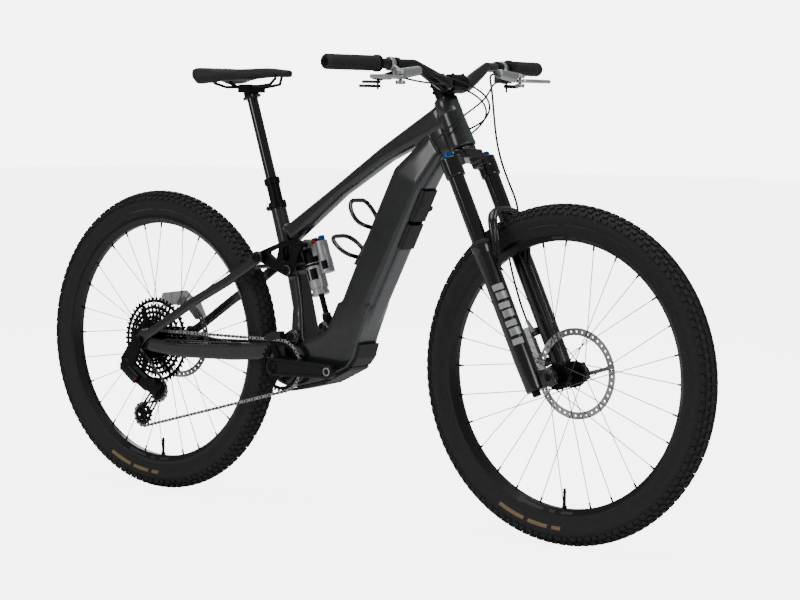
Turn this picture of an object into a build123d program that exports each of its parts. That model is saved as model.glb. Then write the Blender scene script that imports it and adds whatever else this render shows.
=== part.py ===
from build123d import *
from math import atan2, cos, degrees, hypot, pi, radians, sin, sqrt, tan
import os

# Full-suspension electric mountain bike.
# Millimetres. +X forward, +Y to the rider's left, +Z up.
# The origin is on the ground, midway between the axles, in the bike's mid-plane.

os.makedirs("parts", exist_ok=True)

# ------------------------------------------------ driving dimensions
wheelbase = 1208.8
tyre_radius = 372.0
tyre_section = 31.0
tyre_wall = 4.0
rim_outer_radius = 313.0
rim_depth = 22.0
rim_half_width = 17.0
spoke_count = 28
spoke_radius = 1.0
rotor_radius = 100.0
rotor_thickness = 2.0

head_angle = 64.5
fork_offset = 44.0
fork_leg_spacing = 132.0
stanchion_radius = 18.0
lower_leg_radius = 22.0
fork_travel = 150.0

bottom_bracket = (-164.0, 342.0)
crank_length = 165.0
chainring_teeth = 30
cog_teeth = 14
chain_pitch = 12.7
chain_line = 57.0
chain_half_height = 4.2
pulley_teeth = 14
spindle_radius = 12.0

main_pivot = (-136.0, 412.0)
rear_upper_pivot = (-240.0, 595.0)
rocker_pivot = (-156.0, 567.0)
shock_upper_pivot = (-127.0, 626.0)
shock_lower_pivot = (-64.0, 440.0)
stay_inner = 39.8
stay_thickness = 9.4
open_pivot_play = 3.4

seat_collar_centre = (-226.0, 721.0)
seat_tube_angle = 72.2
post_radius = 13.0
post_outer_radius = 15.8
saddle_clamp_height = 985.0
dropper_travel = 150.0

bar_clamp_centre = (299.0, 1001.0)
bar_clamp_radius = 17.5
bar_half_width = 388.0
bar_rise = 41.0
bar_sweep = 37.0
grip_radius = 16.5
grip_length = 140.0

running_gap = 0.06
part_gap = 0.4

wheel_x = wheelbase / 2
axle_height = tyre_radius
ring_radius = chain_pitch / (2 * sin(pi / chainring_teeth))
cog_radius = chain_pitch / (2 * sin(pi / cog_teeth))
pulley_radius = chain_pitch / (2 * sin(pi / pulley_teeth))
upper_pulley_centre = (-566.0, 254.0)
lower_pulley_centre = (-617.0, 188.0)

lean = radians(head_angle)
up_axis = Vector(-cos(lean), 0, sin(lean))
front_axis = Vector(sin(lean), 0, cos(lean))
fork_foot = Vector(wheel_x, 0, axle_height) - front_axis * fork_offset
seat_lean = radians(seat_tube_angle)
seat_up = Vector(-cos(seat_lean), 0, sin(seat_lean))
collar_point = Vector(seat_collar_centre[0], 0, seat_collar_centre[1])


def fork_point(forward, side, up):
    """A point given from the foot of the steering axis: forward, to the left, and up the axis."""
    return fork_foot + front_axis * forward + Vector(0, side, 0) + up_axis * up


def fork_plane(forward, side, up):
    """A plane square to the steering axis, with its x forward and its y to the left."""
    return Plane(origin=fork_point(forward, side, up), x_dir=front_axis, z_dir=up_axis)


def side_plane(y):
    """An upright plane at y, with its x forward, its y up and its normal to the rider's right."""
    return Plane(origin=(0, y, 0), x_dir=(1, 0, 0), z_dir=(0, -1, 0))


def cross_plane(start, end):
    """A plane at start, square to the line to end."""
    return Plane(origin=start, z_dir=Vector(*end) - Vector(*start))


def seat_point(along, forward=0.0):
    """A point on the seat post's line, measured up from the collar."""
    return collar_point + seat_up * along + Vector(sin(seat_lean), 0, cos(seat_lean)) * forward


def across(x, y, z):
    """A place whose own z axis lies along the bike's Y."""
    return Location((x, y, z), (90, 0, 0))


def finish(part, name):
    part.label = name
    export_step(part, "parts/" + name + ".step")


# ------------------------------------------------ main frame
down_tube_top = Vector(191, 0, 791)
down_tube_bottom = Vector(-14, 0, 383)
down_tube_width = 78.0
down_tube_depth = 98.0
frame_wall = 4.0
shell_half_width = 38.5
tube_line = down_tube_top - down_tube_bottom
tube_length = tube_line.length
tube_dir = tube_line.normalized()
tube_out = Vector(tube_dir.Z, 0, -tube_dir.X)


def tube_plane(along, out=0.0):
    """A plane square to the down tube: x towards its front face, y to the left."""
    origin = down_tube_bottom + tube_dir * along + tube_out * out
    return Plane(origin=origin, x_dir=tube_out, z_dir=tube_dir)


head_bottom = 559.0
head_top = 679.0
head_bore = 24.5
head_radius_low = 31.0
head_radius_top = 26.0
battery_size = (64.0, 58.0, 330.0)
battery_gap = 0.6
battery_start = 62.0
battery_out = 6.0
shell_outline = [(-152, 425), (-128, 397), (-62, 423), (-40, 436), (-8, 500), (88, 497), (55, 418),
                 (42, 375), (19, 348), (-56, 311), (-152, 288), (-192, 300), (-208, 342), (-190, 388)]
motor_outline = [(-150, 380), (-110, 384), (-56, 402), (-22, 432), (26, 432), (24, 400), (6, 366),
                 (-56, 330), (-146, 306), (-172, 306), (-196, 342), (-176, 372)]
guard_outline = [(-152, 280.5), (-54, 303.5), (25, 342), (50, 372), (60, 404), (52.4, 404), (42.6, 374.4),
                 (19.5, 347.3), (-56, 310.2), (-152, 287.2)]
strut_points = [Vector(-190, 0, 622), Vector(-160, 0, 552), Vector(-143, 0, 480), Vector(-136, 0, 405)]
strut_sizes = [(40, 44), (34, 50), (30, 56), (40, 74)]

with BuildPart() as main_frame:
    # down tube, a tall rounded box that spreads into the head
    for along, depth, width in [(0, 86, 76), (tube_length * 0.5, 94, down_tube_width),
                                (tube_length, down_tube_depth, 74)]:
        with BuildSketch(tube_plane(along)):
            RectangleRounded(depth, width, 22)
    loft()
    with BuildSketch(tube_plane(tube_length)):
        RectangleRounded(down_tube_depth, 74, 22)
    with BuildSketch(Plane(origin=(262, 0, 866), x_dir=(0.62, 0, -0.78), z_dir=(0.78, 0, 0.62))):
        RectangleRounded(70, 52, 20)
    loft()
    # head tube
    with BuildSketch(fork_plane(0, 0, head_bottom)):
        Circle(head_radius_low)
    with BuildSketch(fork_plane(0, 0, head_top)):
        Circle(head_radius_top)
    loft()
    # top tube
    for x, z, depth, width, slope in [(-178, 650, 46, 40, 40), (-24, 758, 31, 42, 34),
                                      (110, 843, 38, 44, 31), (268, 926, 58, 46, 27)]:
        tilt = radians(slope)
        with BuildSketch(Plane(origin=(x, 0, z), x_dir=(-sin(tilt), 0, cos(tilt)),
                               z_dir=(cos(tilt), 0, sin(tilt)))):
            RectangleRounded(depth, width, 13)
    loft(ruled=True)
    # seat tube and the strut below it
    with BuildSketch(Plane(origin=seat_point(-118), z_dir=seat_up)):
        Circle(20.5)
    with BuildSketch(Plane(origin=seat_point(0.8), z_dir=seat_up)):
        Circle(18.6)
    loft()
    for (depth, width), point, toward in zip(strut_sizes, strut_points,
                                             [(0.4, -0.92), (0.33, -0.94), (0.17, -0.98),
                                                                        (0.0, -1.0)]):
        plane = Plane(origin=point, x_dir=(-toward[1], 0, toward[0]), z_dir=(toward[0], 0, toward[1]))
        with BuildSketch(plane):
            RectangleRounded(depth, width, 9)
    loft(ruled=True)
    # motor shell
    with BuildSketch(side_plane(0)):
        with BuildLine():
            Polyline(*shell_outline, close=True)
        make_face()
    extrude(amount=shell_half_width, both=True)
    # ears for the shock's lower bolt
    with BuildSketch(side_plane(0)):
        with Locations(shock_lower_pivot):
            Circle(12)
        with BuildLine():
            Polyline((-80, 408), (-36, 424), (-52, 444), (-76, 440), close=True)
        make_face()
    extrude(amount=24, both=True)
    with BuildSketch(side_plane(0)):
        with Locations(shock_lower_pivot):
            Circle(15.5)
    extrude(amount=13.6, both=True, mode=Mode.SUBTRACT)
    # boss for the rocker pivot
    with Locations(across(rocker_pivot[0], 0, rocker_pivot[1])):
        Cylinder(15, 66)
    # openings
    with BuildSketch(fork_plane(0, 0, head_bottom - 20)):
        Circle(head_bore)
    extrude(amount=head_top - head_bottom + 40, mode=Mode.SUBTRACT)
    with BuildSketch(fork_plane(0, 0, head_bottom - 20)):
        Circle(60)
    extrude(amount=20, mode=Mode.SUBTRACT)
    with BuildSketch(Plane(origin=seat_point(-165), z_dir=seat_up)):
        Circle(post_outer_radius + 0.05)
    extrude(amount=200, mode=Mode.SUBTRACT)
    with BuildSketch(side_plane(0)):
        with BuildLine():
            Polyline(*motor_outline, close=True)
        make_face()
    extrude(amount=shell_half_width - frame_wall, both=True, mode=Mode.SUBTRACT)
    with BuildSketch(side_plane(0)):
        with BuildLine():
            Polyline((-120, 330), (10, 380), (30, 340), (-60, 290), (-130, 280), close=True)
        make_face()
    extrude(amount=30, both=True, mode=Mode.SUBTRACT)
    with BuildSketch(tube_plane(battery_start - 4, battery_out)):
        RectangleRounded(battery_size[0] + 2 * battery_gap, battery_size[1] + 2 * battery_gap, 8)
    extrude(amount=battery_size[2] + 8, mode=Mode.SUBTRACT)
    with BuildSketch(tube_plane(300, 60)):
        RectangleRounded(60, 54, 5)
    extrude(amount=150, mode=Mode.SUBTRACT)
    for point, radius in ((bottom_bracket, 26.0), (main_pivot, 8.05), (rocker_pivot, 8.05),
                          (shock_lower_pivot, 4.05)):
        with Locations(across(point[0], 0, point[1])):
            Cylinder(radius, 2 * wheel_x, mode=Mode.SUBTRACT)
finish(main_frame.part, "main_frame")

# battery inside the down tube, with its cover and the guard under the motor
with BuildPart() as battery:
    with BuildSketch(tube_plane(battery_start, battery_out)):
        RectangleRounded(battery_size[0], battery_size[1], 8)
    extrude(amount=battery_size[2])
    with BuildSketch(tube_plane(292, 60)):
        RectangleRounded(62, 56, 8)
    extrude(amount=166, mode=Mode.SUBTRACT)
finish(battery.part, "battery")

with BuildPart() as battery_cover:
    with BuildSketch(tube_plane(300.4, 42)):
        RectangleRounded(23, 53, 6)
    extrude(amount=149.2)
    with BuildSketch(tube_plane(362, 58)):
        Circle(30)
    extrude(amount=10, mode=Mode.SUBTRACT)
finish(battery_cover.part, "battery_cover")

with BuildPart() as motor_guard:
    with BuildSketch(side_plane(0)):
        with BuildLine():
            Polyline(*guard_outline, close=True)
        make_face()
    extrude(amount=34, both=True)
    for x, z in ((30, 352), (-50, 308)):
        with Locations(across(x, 0, z)):
            Cylinder(3, 80, mode=Mode.SUBTRACT)
finish(motor_guard.part, "motor_guard")

with BuildPart() as drive_unit:
    with BuildSketch(side_plane(0)):
        with BuildLine():
            Polyline(*motor_outline, close=True)
        make_face()
        offset(amount=-0.8, mode=Mode.REPLACE)
    extrude(amount=shell_half_width - frame_wall - 0.5, both=True)
    with Locations(across(bottom_bracket[0], 0, bottom_bracket[1])):
        Cylinder(24, 2 * (shell_half_width + 4))
        Cylinder(spindle_radius + running_gap, 200, mode=Mode.SUBTRACT)
finish(drive_unit.part, "drive_unit")

# ------------------------------------------------ headset, seat collar, fixed dropper tube
steerer_radius = 14.3
race_radius = 20.0
bearing_height = 7.0
with BuildPart() as headset_bearings:
    for start, inner, outer in ((head_bottom, race_radius, head_bore),
                                (head_top - bearing_height, steerer_radius, head_bore)):
        with BuildSketch(fork_plane(0, 0, start)):
            Circle(outer)
            Circle(inner + running_gap, mode=Mode.SUBTRACT)
        extrude(amount=bearing_height)
finish(headset_bearings.part, "headset_bearings")

with BuildPart() as seat_collar:
    with BuildSketch(Plane(origin=seat_point(-12), z_dir=seat_up)):
        Circle(21.5)
        Circle(18.9, mode=Mode.SUBTRACT)
    extrude(amount=13)
    with BuildSketch(Plane(origin=seat_point(1), z_dir=seat_up)):
        Circle(21.5)
        Circle(post_outer_radius + 0.1, mode=Mode.SUBTRACT)
    extrude(amount=3)
    with BuildSketch(Plane(origin=seat_point(-10), x_dir=(0, 1, 0), z_dir=seat_up)):
        with Locations((0, 25)):
            RectangleRounded(17, 11, 2)
    extrude(amount=10)
    with BuildSketch(Plane(origin=seat_point(-12), x_dir=(0, 1, 0), z_dir=seat_up)):
        Rectangle(1.6, 80, align=(Align.CENTER, Align.MIN))
    extrude(amount=30, mode=Mode.SUBTRACT)
    with BuildSketch(Plane(origin=seat_point(-12), z_dir=seat_up)):
        Circle(18.9)
    extrude(amount=13, mode=Mode.SUBTRACT)
    with Locations(Location(seat_point(-5, -27), (90, 0, 0))):
        Cylinder(2.6, 22)
finish(seat_collar.part, "seat_collar")

outer_tube_top = 62.0
seal_head_height = 14.0
with BuildPart() as dropper_outer:
    with BuildSketch(Plane(origin=seat_point(-158), z_dir=seat_up)):
        Circle(post_outer_radius)
    extrude(amount=158 + outer_tube_top - seal_head_height)
    with BuildSketch(Plane(origin=seat_point(outer_tube_top - seal_head_height), z_dir=seat_up)):
        Circle(19)
    extrude(amount=seal_head_height)
    with BuildSketch(Plane(origin=seat_point(-160), z_dir=seat_up)):
        Circle(post_radius + running_gap)
    extrude(amount=300, mode=Mode.SUBTRACT)
finish(dropper_outer.part, "dropper_outer")

# ------------------------------------------------ bottle cage and chain guide
cage_bar = 3.0
cage_base = [tube_plane(196, -47.5 - cage_bar).origin, tube_plane(330, -48.5 - cage_bar).origin]
cage_back = (cage_base[1] - cage_base[0]).normalized()
cage_out = Vector(-cage_back.Z, 0, cage_back.X)
bottle_radius = 37.0


def cage_point(along, out, side):
    return cage_base[0] + cage_back * along + cage_out * out + Vector(0, side, 0)


with BuildPart() as bottle_cage:
    with BuildSketch(Plane(origin=cage_point(0, 0, 0), x_dir=(0, 1, 0), z_dir=cage_back)):
        RectangleRounded(22, 5.5, 2)
    extrude(amount=132)
    for along, low in ((18, 26), (100, 126)):
        with BuildLine() as hoop:
            Polyline(cage_point(along, 3, 0), cage_point(along + 2, 12, 33),
                     cage_point((along + low) / 2, 52, 41),
                     cage_point(low, 78, 22), cage_point(low, 78, -22),
                     cage_point((along + low) / 2, 52, -41), cage_point(along + 2, 12, -33), close=True)
        with BuildSketch(Plane(origin=cage_point(along, 3, 0),
                               z_dir=cage_point(along + 2, 12, 33) - cage_point(along, 3, 0))):
            Circle(cage_bar)
        sweep(path=hoop.wires()[0], transition=Transition.ROUND)
finish(bottle_cage.part, "bottle_cage")

with BuildPart() as chain_guide:
    for y_start, thickness, inner, outer in ((-50.0, 2.2, 66.0, 82.0), (-52.2, 11.3, 76.0, 82.0),
                                             (-63.5, 2.5, 64.0, 82.0)):
        with BuildSketch(Plane(origin=(bottom_bracket[0], y_start, bottom_bracket[1]), x_dir=(1, 0, 0),
                               z_dir=(0, -1, 0))):
            Circle(outer)
            Circle(inner, mode=Mode.SUBTRACT)
            with BuildLine():
                Polyline((0, 0), (8, 130), (-72, 108), close=True)
            make_face(mode=Mode.INTERSECT)
        extrude(amount=thickness)
    with BuildSketch(Plane(origin=(bottom_bracket[0], -50.0, bottom_bracket[1]), x_dir=(1, 0, 0),
                           z_dir=(0, -1, 0))):
        with BuildLine():
            Polyline((10, 20), (2, 70), (-34, 60), (-20, 12), close=True)
        make_face()
        Circle(25)
        Circle(spindle_radius + 3, mode=Mode.SUBTRACT)
    extrude(amount=2.2)
    with BuildSketch(side_plane(-shell_half_width - 4.1)):
        with Locations(bottom_bracket):
            Circle(24)
            Circle(spindle_radius + 3, mode=Mode.SUBTRACT)
    extrude(amount=50.0 - shell_half_width - 4.1)
finish(chain_guide.part, "chain_guide")

with BuildPart() as frame_pivot_pins:
    for point, half in ((main_pivot, 52.0), (rocker_pivot, 48.5), (shock_lower_pivot, 27.0)):
        radius = 4.0 if point == shock_lower_pivot else 8.0
        head = radius + 4.0
        with Locations(across(point[0], 0, point[1])):
            Cylinder(radius, 2 * half)
        with Locations(across(point[0], half, point[1]), across(point[0], -half, point[1])):
            Cylinder(head, 4)
        with Locations(across(point[0], half, point[1]), across(point[0], -half, point[1])):
            Cylinder(3, 30, mode=Mode.SUBTRACT)
finish(frame_pivot_pins.part, "frame_pivot_pins")

# ------------------------------------------------ dropper post and saddle
post_top = 270.0
post_bottom = 6.0
with BuildPart() as dropper_post:
    with BuildSketch(Plane(origin=seat_point(post_bottom), z_dir=seat_up)):
        Circle(post_radius)
        Circle(post_radius - 2.5, mode=Mode.SUBTRACT)
    extrude(amount=post_top - 14 - post_bottom)
    with BuildSketch(Plane(origin=seat_point(post_top - 14), z_dir=seat_up)):
        Circle(post_radius)
    extrude(amount=8)
    with BuildSketch(Plane(origin=seat_point(post_top - 8), z_dir=seat_up)):
        RectangleRounded(38, 30, 6)
    extrude(amount=6)
finish(dropper_post.part, "dropper_post")

rail_radius = 3.5
rail_half_gap = 22.0
rail_height = 997.0
clamp_x = seat_point(post_top).X
clamp_bottom = seat_point(post_top).Z - 1.2
with BuildPart() as saddle_clamp:
    with BuildSketch(Plane(origin=seat_point(post_top - 2 + running_gap), z_dir=seat_up)):
        RectangleRounded(28, 28, 5)
    extrude(amount=14)
    with Locations((clamp_x, 0, (rail_height - 0.2 + clamp_bottom + 7) / 2)):
        Box(36, 58, rail_height - clamp_bottom - 7 - 0.2)
    with Locations((clamp_x, rail_half_gap, rail_height + 2), (clamp_x, -rail_half_gap, rail_height + 2)):
        Box(34, 14, 9)
    for side in (1, -1):
        with Locations(Location((clamp_x, side * rail_half_gap, rail_height), (0, 90, 0))):
            Cylinder(rail_radius + 0.1, 80, mode=Mode.SUBTRACT)
    with Locations((clamp_x - 14, 0, rail_height + 1), (clamp_x + 14, 0, rail_height + 1)):
        Cylinder(3, 8)
finish(saddle_clamp.part, "saddle_clamp")

saddle_rear, saddle_nose = -463.0, -188.0
rail_route = [(saddle_nose - 34, 1019, 0.45), (saddle_nose - 46, 1003, 0.8),
              (saddle_nose - 92, rail_height, 1.0),
              (saddle_nose - 182, rail_height, 1.0), (saddle_nose - 212, 1006, 1.3),
              (saddle_nose - 222, 1019, 1.5)]
with BuildPart() as saddle_rails:
    for side in (1, -1):
        points = [Vector(x, side * rail_half_gap * spread, z) for x, z, spread in rail_route]
        with BuildLine() as rail_line:
            FilletPolyline(*points, radius=5)
        with BuildSketch(cross_plane(points[0], points[1])):
            Circle(rail_radius)
        sweep(path=rail_line.wires()[0])
finish(saddle_rails.part, "saddle_rails")

saddle_sections = [(saddle_rear, 90, 26, 1030), (saddle_rear + 34, 146, 40, 1024),
                   (saddle_rear + 84, 130, 34, 1024),
                   (saddle_rear + 144, 76, 24, 1028), (saddle_rear + 215, 46, 22, 1031),
                   (saddle_nose, 28, 17, 1028)]
with BuildPart() as saddle:
    for x, width, height, middle in saddle_sections:
        with BuildSketch(Plane(origin=(x, 0, middle), x_dir=(0, 1, 0), z_dir=(1, 0, 0))):
            RectangleRounded(width, height, height * 0.45)
    loft(ruled=True)
    with Locations((saddle_rear + 75, 0, 1001)):
        Box(160, 92, 24, mode=Mode.SUBTRACT)
    for side in (1, -1):
        for x, z, spread in (rail_route[0], rail_route[-1]):
            with Locations((x, side * rail_half_gap * spread, z)):
                Box(16, 12, 22, mode=Mode.SUBTRACT, align=(Align.CENTER, Align.CENTER, Align.CENTER))
finish(saddle.part, "saddle")

# ------------------------------------------------ fork: crown, stanchions, lowers
crown_bottom = 531.0
crown_top = 556.0
sleeve_bottom = 490.0
leg_drop = 16.0
leg_crown_top = crown_top - leg_drop
stanchion_bottom = 186.0
leg_y = fork_leg_spacing / 2
with BuildPart() as fork_crown:
    with BuildSketch(fork_plane(0, 0, crown_bottom)):
        with Locations((-3, 0)):
            RectangleRounded(40, 104, 14)
    extrude(amount=crown_top - crown_bottom - 4)
    for side in (1, -1):
        with BuildSketch(fork_plane(0, 0, crown_bottom - leg_drop)):
            with BuildLine():
                Polyline((-20, side * 34), (16, side * 34), (20, side * leg_y), (-20, side * leg_y),
                         close=True)
            make_face()
            with Locations((0, side * leg_y)):
                Circle(22.5)
        extrude(amount=crown_top - crown_bottom - 4)
    with BuildSketch(fork_plane(0, 0, crown_top - 4)):
        Circle(27)
    extrude(amount=6)
    for side in (1, -1):
        with BuildSketch(fork_plane(0, side * leg_y, sleeve_bottom)):
            Circle(22.5)
        extrude(amount=crown_bottom - leg_drop - sleeve_bottom)
    with BuildSketch(fork_plane(0, 0, crown_top + 2)):
        Circle(race_radius)
    extrude(amount=head_bottom + bearing_height - crown_top - 2)
    with BuildSketch(fork_plane(0, 0, head_bottom + bearing_height)):
        Circle(steerer_radius)
    extrude(amount=733 - head_bottom - bearing_height)
    with BuildSketch(fork_plane(0, 0, head_bottom)):
        Circle(11.5)
    extrude(amount=200, mode=Mode.SUBTRACT)
    for side in (1, -1):
        with BuildSketch(fork_plane(0, side * leg_y, sleeve_bottom - 1)):
            Circle(stanchion_radius + 0.05)
        extrude(amount=leg_crown_top - sleeve_bottom - 6, mode=Mode.SUBTRACT)
        with BuildSketch(fork_plane(0, side * leg_y, leg_crown_top - 10)):
            Circle(12)
        extrude(amount=12, mode=Mode.SUBTRACT)
finish(fork_crown.part, "fork_crown")

cap_height = 6.0
with BuildPart() as fork_stanchions:
    for side in (1, -1):
        with BuildSketch(fork_plane(0, side * leg_y, stanchion_bottom)):
            Circle(stanchion_radius)
            Circle(stanchion_radius - 2.5, mode=Mode.SUBTRACT)
        extrude(amount=leg_crown_top - 12 - stanchion_bottom)
    with BuildSketch(fork_plane(0, leg_y, leg_crown_top - 12)):
        Circle(11.9)
    extrude(amount=12 + cap_height)
    with BuildSketch(fork_plane(0, -leg_y, leg_crown_top - 12)):
        Circle(11.9)
    extrude(amount=8)
finish(fork_stanchions.part, "fork_stanchions")

with BuildPart() as compression_dial:
    with BuildSketch(fork_plane(0, -leg_y, leg_crown_top - 4 + 0.3)):
        Circle(11.2)
    extrude(amount=cap_height + 4)
    with BuildSketch(fork_plane(0, -leg_y, leg_crown_top + 1)):
        with PolarLocations(12.2, 10):
            Circle(1.6)
    extrude(amount=cap_height, mode=Mode.SUBTRACT)
finish(compression_dial.part, "compression_dial")

leg_top = 328.0
arch_low, arch_high = 379.0, 393.0
hub_half_width = 55.0
axle_radius = 7.5
with BuildPart() as fork_lowers:
    for side in (1, -1):
        with BuildSketch(fork_plane(0, side * leg_y, -14)):
            Circle(20)
        with BuildSketch(fork_plane(0, side * leg_y, 60)):
            Circle(lower_leg_radius)
        loft()
        with BuildSketch(fork_plane(0, side * leg_y, 60)):
            Circle(lower_leg_radius)
        extrude(amount=leg_top - 60)
        with BuildSketch(fork_plane(0, side * leg_y, leg_top - 12)):
            Circle(lower_leg_radius + 2)
        extrude(amount=12)
        # arch leg in front of each upper leg
        with BuildSketch(fork_plane(19, side * (leg_y - 8), leg_top - 60)):
            RectangleRounded(26, 30, 8)
        with BuildSketch(fork_plane(34, side * 47, arch_low - 12)):
            RectangleRounded(13, 26, 5)
        loft()
        # dropout lug
        with BuildSketch(Plane(origin=fork_point(0, side * 67, 0), x_dir=front_axis, z_dir=(0, -1, 0))):
            with BuildLine():
                Polyline((-10, -13), (-10, 34), (16, 40), (58, 14), (62, -4), (54, -18), (36, -20),
                         (14, -13), close=True)
            make_face()
        extrude(amount=side * 12)
        with Locations(across(wheel_x, side * 62, axle_height)):
            Cylinder(17, 14)
    with BuildSketch(fork_plane(34, 0, arch_low)):
        with BuildLine():
            Polyline((-6, -60), (6, -60), (9, -30), (9, 30), (6, 60), (-6, 60), (-7, 30), (-7, -30),
                     close=True)
        make_face()
    extrude(amount=arch_high - arch_low)
    for side in (1, -1):
        with BuildSketch(fork_plane(34, side * 47, arch_low - 12)):
            RectangleRounded(13, 26, 5)
        extrude(amount=14)
        with BuildSketch(fork_plane(0, side * leg_y, 30)):
            Circle(stanchion_radius + running_gap)
        extrude(amount=leg_top, mode=Mode.SUBTRACT)
    with BuildSketch(Plane(origin=(wheel_x, 0, axle_height), x_dir=(1, 0, 0), z_dir=(0, -1, 0))):
        Circle(tyre_radius + 6)
    extrude(amount=43, both=True, mode=Mode.SUBTRACT)
    with Locations(across(wheel_x, 0, axle_height)):
        Cylinder(axle_radius + 0.05, 300, mode=Mode.SUBTRACT)
    # caliper mounts behind the left leg
    with BuildSketch(Plane(origin=fork_point(0, 58, 0), x_dir=front_axis, z_dir=(0, -1, 0))):
        with BuildLine():
            Polyline((-17.5, 44), (-36, 48), (-36, 62), (-17.5, 66), close=True)
            Polyline((-17.5, 116), (-36, 120), (-36, 134), (-17.5, 138), close=True)
        make_face()
    extrude(amount=12)
    # thru axle
    with Locations(across(wheel_x, 0, axle_height)):
        Cylinder(axle_radius, 2 * 72)
finish(fork_lowers.part, "fork_lowers")

# ------------------------------------------------ cockpit: stem, bar, grips, brakes, switches
stem_low, stem_high = 692.0, 726.0
bar_end_x = bar_clamp_centre[0] - 12 - bar_sweep
grip_z = bar_clamp_centre[1] + bar_rise
bar_centre = Vector(bar_clamp_centre[0], 0, bar_clamp_centre[1])
bar_forward = (bar_centre - fork_foot).dot(front_axis)
bar_up = (bar_centre - fork_foot).dot(up_axis)
with BuildPart() as stem:
    with BuildSketch(fork_plane(0, 0, stem_low)):
        Circle(19.5)
    extrude(amount=stem_high - stem_low)
    with BuildSketch(Plane(origin=fork_point(2, 0, (stem_low + stem_high) / 2), x_dir=(0, 1, 0),
                           z_dir=front_axis)):
        RectangleRounded(38, 32, 7)
    with BuildSketch(Plane(origin=fork_point(bar_forward - 8, 0, bar_up + 3), x_dir=(0, 1, 0),
                           z_dir=front_axis)):
        RectangleRounded(52, 36, 5)
    loft()
    with Locations(across(bar_clamp_centre[0], 0, bar_clamp_centre[1])):
        Cylinder(21.5, 54)
    with Locations(across(bar_clamp_centre[0], 0, bar_clamp_centre[1])):
        Cylinder(bar_clamp_radius, 80, mode=Mode.SUBTRACT)
    with BuildSketch(fork_plane(0, 0, stem_low - 20)):
        Circle(steerer_radius + 0.05)
    extrude(amount=80, mode=Mode.SUBTRACT)
    # spacers below and the cap above
    with BuildSketch(fork_plane(0, 0, head_top + part_gap)):
        Circle(24)
        Circle(steerer_radius + 0.05, mode=Mode.SUBTRACT)
    extrude(amount=4)
    with BuildSketch(fork_plane(0, 0, head_top + part_gap + 4)):
        Circle(19)
        Circle(steerer_radius + 0.05, mode=Mode.SUBTRACT)
    extrude(amount=stem_low - head_top - part_gap - 4)
    with BuildSketch(fork_plane(0, 0, 733.3)):
        Circle(19)
    extrude(amount=3)
finish(stem.part, "stem")

bar_route = [(0, bar_clamp_centre[0], bar_clamp_centre[1]), (44, bar_clamp_centre[0], bar_clamp_centre[1]),
             (132, bar_clamp_centre[0] - 12, grip_z - 1), (bar_half_width, bar_end_x, grip_z)]
bar_radius = 11.1
with BuildPart() as handlebar:
    for side in (1, -1):
        points = [Vector(x, side * y, z) for y, x, z in bar_route]
        bend = points[2] - points[1]
        with BuildSketch(cross_plane(points[0], points[1])):
            Circle(bar_clamp_radius - 0.05)
        extrude(amount=44)
        with BuildSketch(cross_plane(points[1], points[1] + Vector(0, side, 0))):
            Circle(bar_clamp_radius - 0.05)
        with BuildSketch(Plane(origin=(points[1] + points[2]) * 0.5, z_dir=bend)):
            Circle(14)
        with BuildSketch(Plane(origin=points[2], z_dir=points[3] - points[2])):
            Circle(bar_radius)
        loft()
        with BuildSketch(cross_plane(points[2], points[3])):
            Circle(bar_radius)
        extrude(amount=(points[3] - points[2]).length)
finish(handlebar.part, "handlebar")


def bar_place(side, y):
    """A point on the outer, straight stretch of the bar, and the direction out along it."""
    near = Vector(bar_route[2][1], side * bar_route[2][0], bar_route[2][2])
    far = Vector(bar_route[3][1], side * bar_route[3][0], bar_route[3][2])
    along = (far - near).normalized()
    return near + along * ((y - bar_route[2][0]) / abs(along.Y)), along


with BuildPart() as grips:
    for side in (1, -1):
        start, along = bar_place(side, bar_half_width - grip_length - 10)
        with BuildSketch(Plane(origin=start, z_dir=along)):
            Circle(18)
        extrude(amount=12)
        with BuildSketch(Plane(origin=start + along * 12, z_dir=along)):
            Circle(grip_radius)
        extrude(amount=grip_length + 2)
        with BuildSketch(Plane(origin=start - along, z_dir=along)):
            Circle(bar_radius + 0.05)
        extrude(amount=grip_length + 13, mode=Mode.SUBTRACT)
finish(grips.part, "grips")

master_y = 168.0
lever_reach = 66.0


def brake_frame(side, y, forward, down):
    """A point placed from the bar at y: forward of it, and below it."""
    point, along = bar_place(side, y)
    return point + Vector(forward, 0, -down)


lever_pivot_y, lever_pivot_forward, lever_pivot_down = 222.0, 45.0, 30.0
with BuildPart() as brake_masters:
    for side in (1, -1):
        centre, along = bar_place(side, 205)
        with BuildSketch(Plane(origin=centre - along * 6, z_dir=along)):
            Circle(15.5)
        extrude(amount=12)
        body_start = brake_frame(side, 148, 26, 14)
        body_end = brake_frame(side, 226, 38, 24)
        with BuildSketch(cross_plane(body_start, body_end)):
            RectangleRounded(20, 22, 8)
        with BuildSketch(Plane(origin=body_end, z_dir=body_end - body_start)):
            RectangleRounded(24, 26, 9)
        loft()
        with BuildSketch(cross_plane(centre + Vector(8, 0, -5), brake_frame(side, 205, 30, 18))):
            RectangleRounded(11, 11, 3)
        extrude(amount=20)
        with BuildSketch(Plane(origin=centre - along * 10, z_dir=along)):
            Circle(bar_radius + 0.05)
        extrude(amount=20, mode=Mode.SUBTRACT)
        pivot = brake_frame(side, lever_pivot_y, lever_pivot_forward, lever_pivot_down)
        with Locations(Location(pivot)):
            Cylinder(11, 30)
        with Locations(Location(pivot)):
            Cylinder(14, 13, mode=Mode.SUBTRACT)
        with Locations(Location(pivot + Vector(2, side * 12, 0))):
            Box(34, 34, 13, mode=Mode.SUBTRACT)
        with Locations(Location(pivot)):
            Cylinder(3, 30)
finish(brake_masters.part, "brake_masters")


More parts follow.
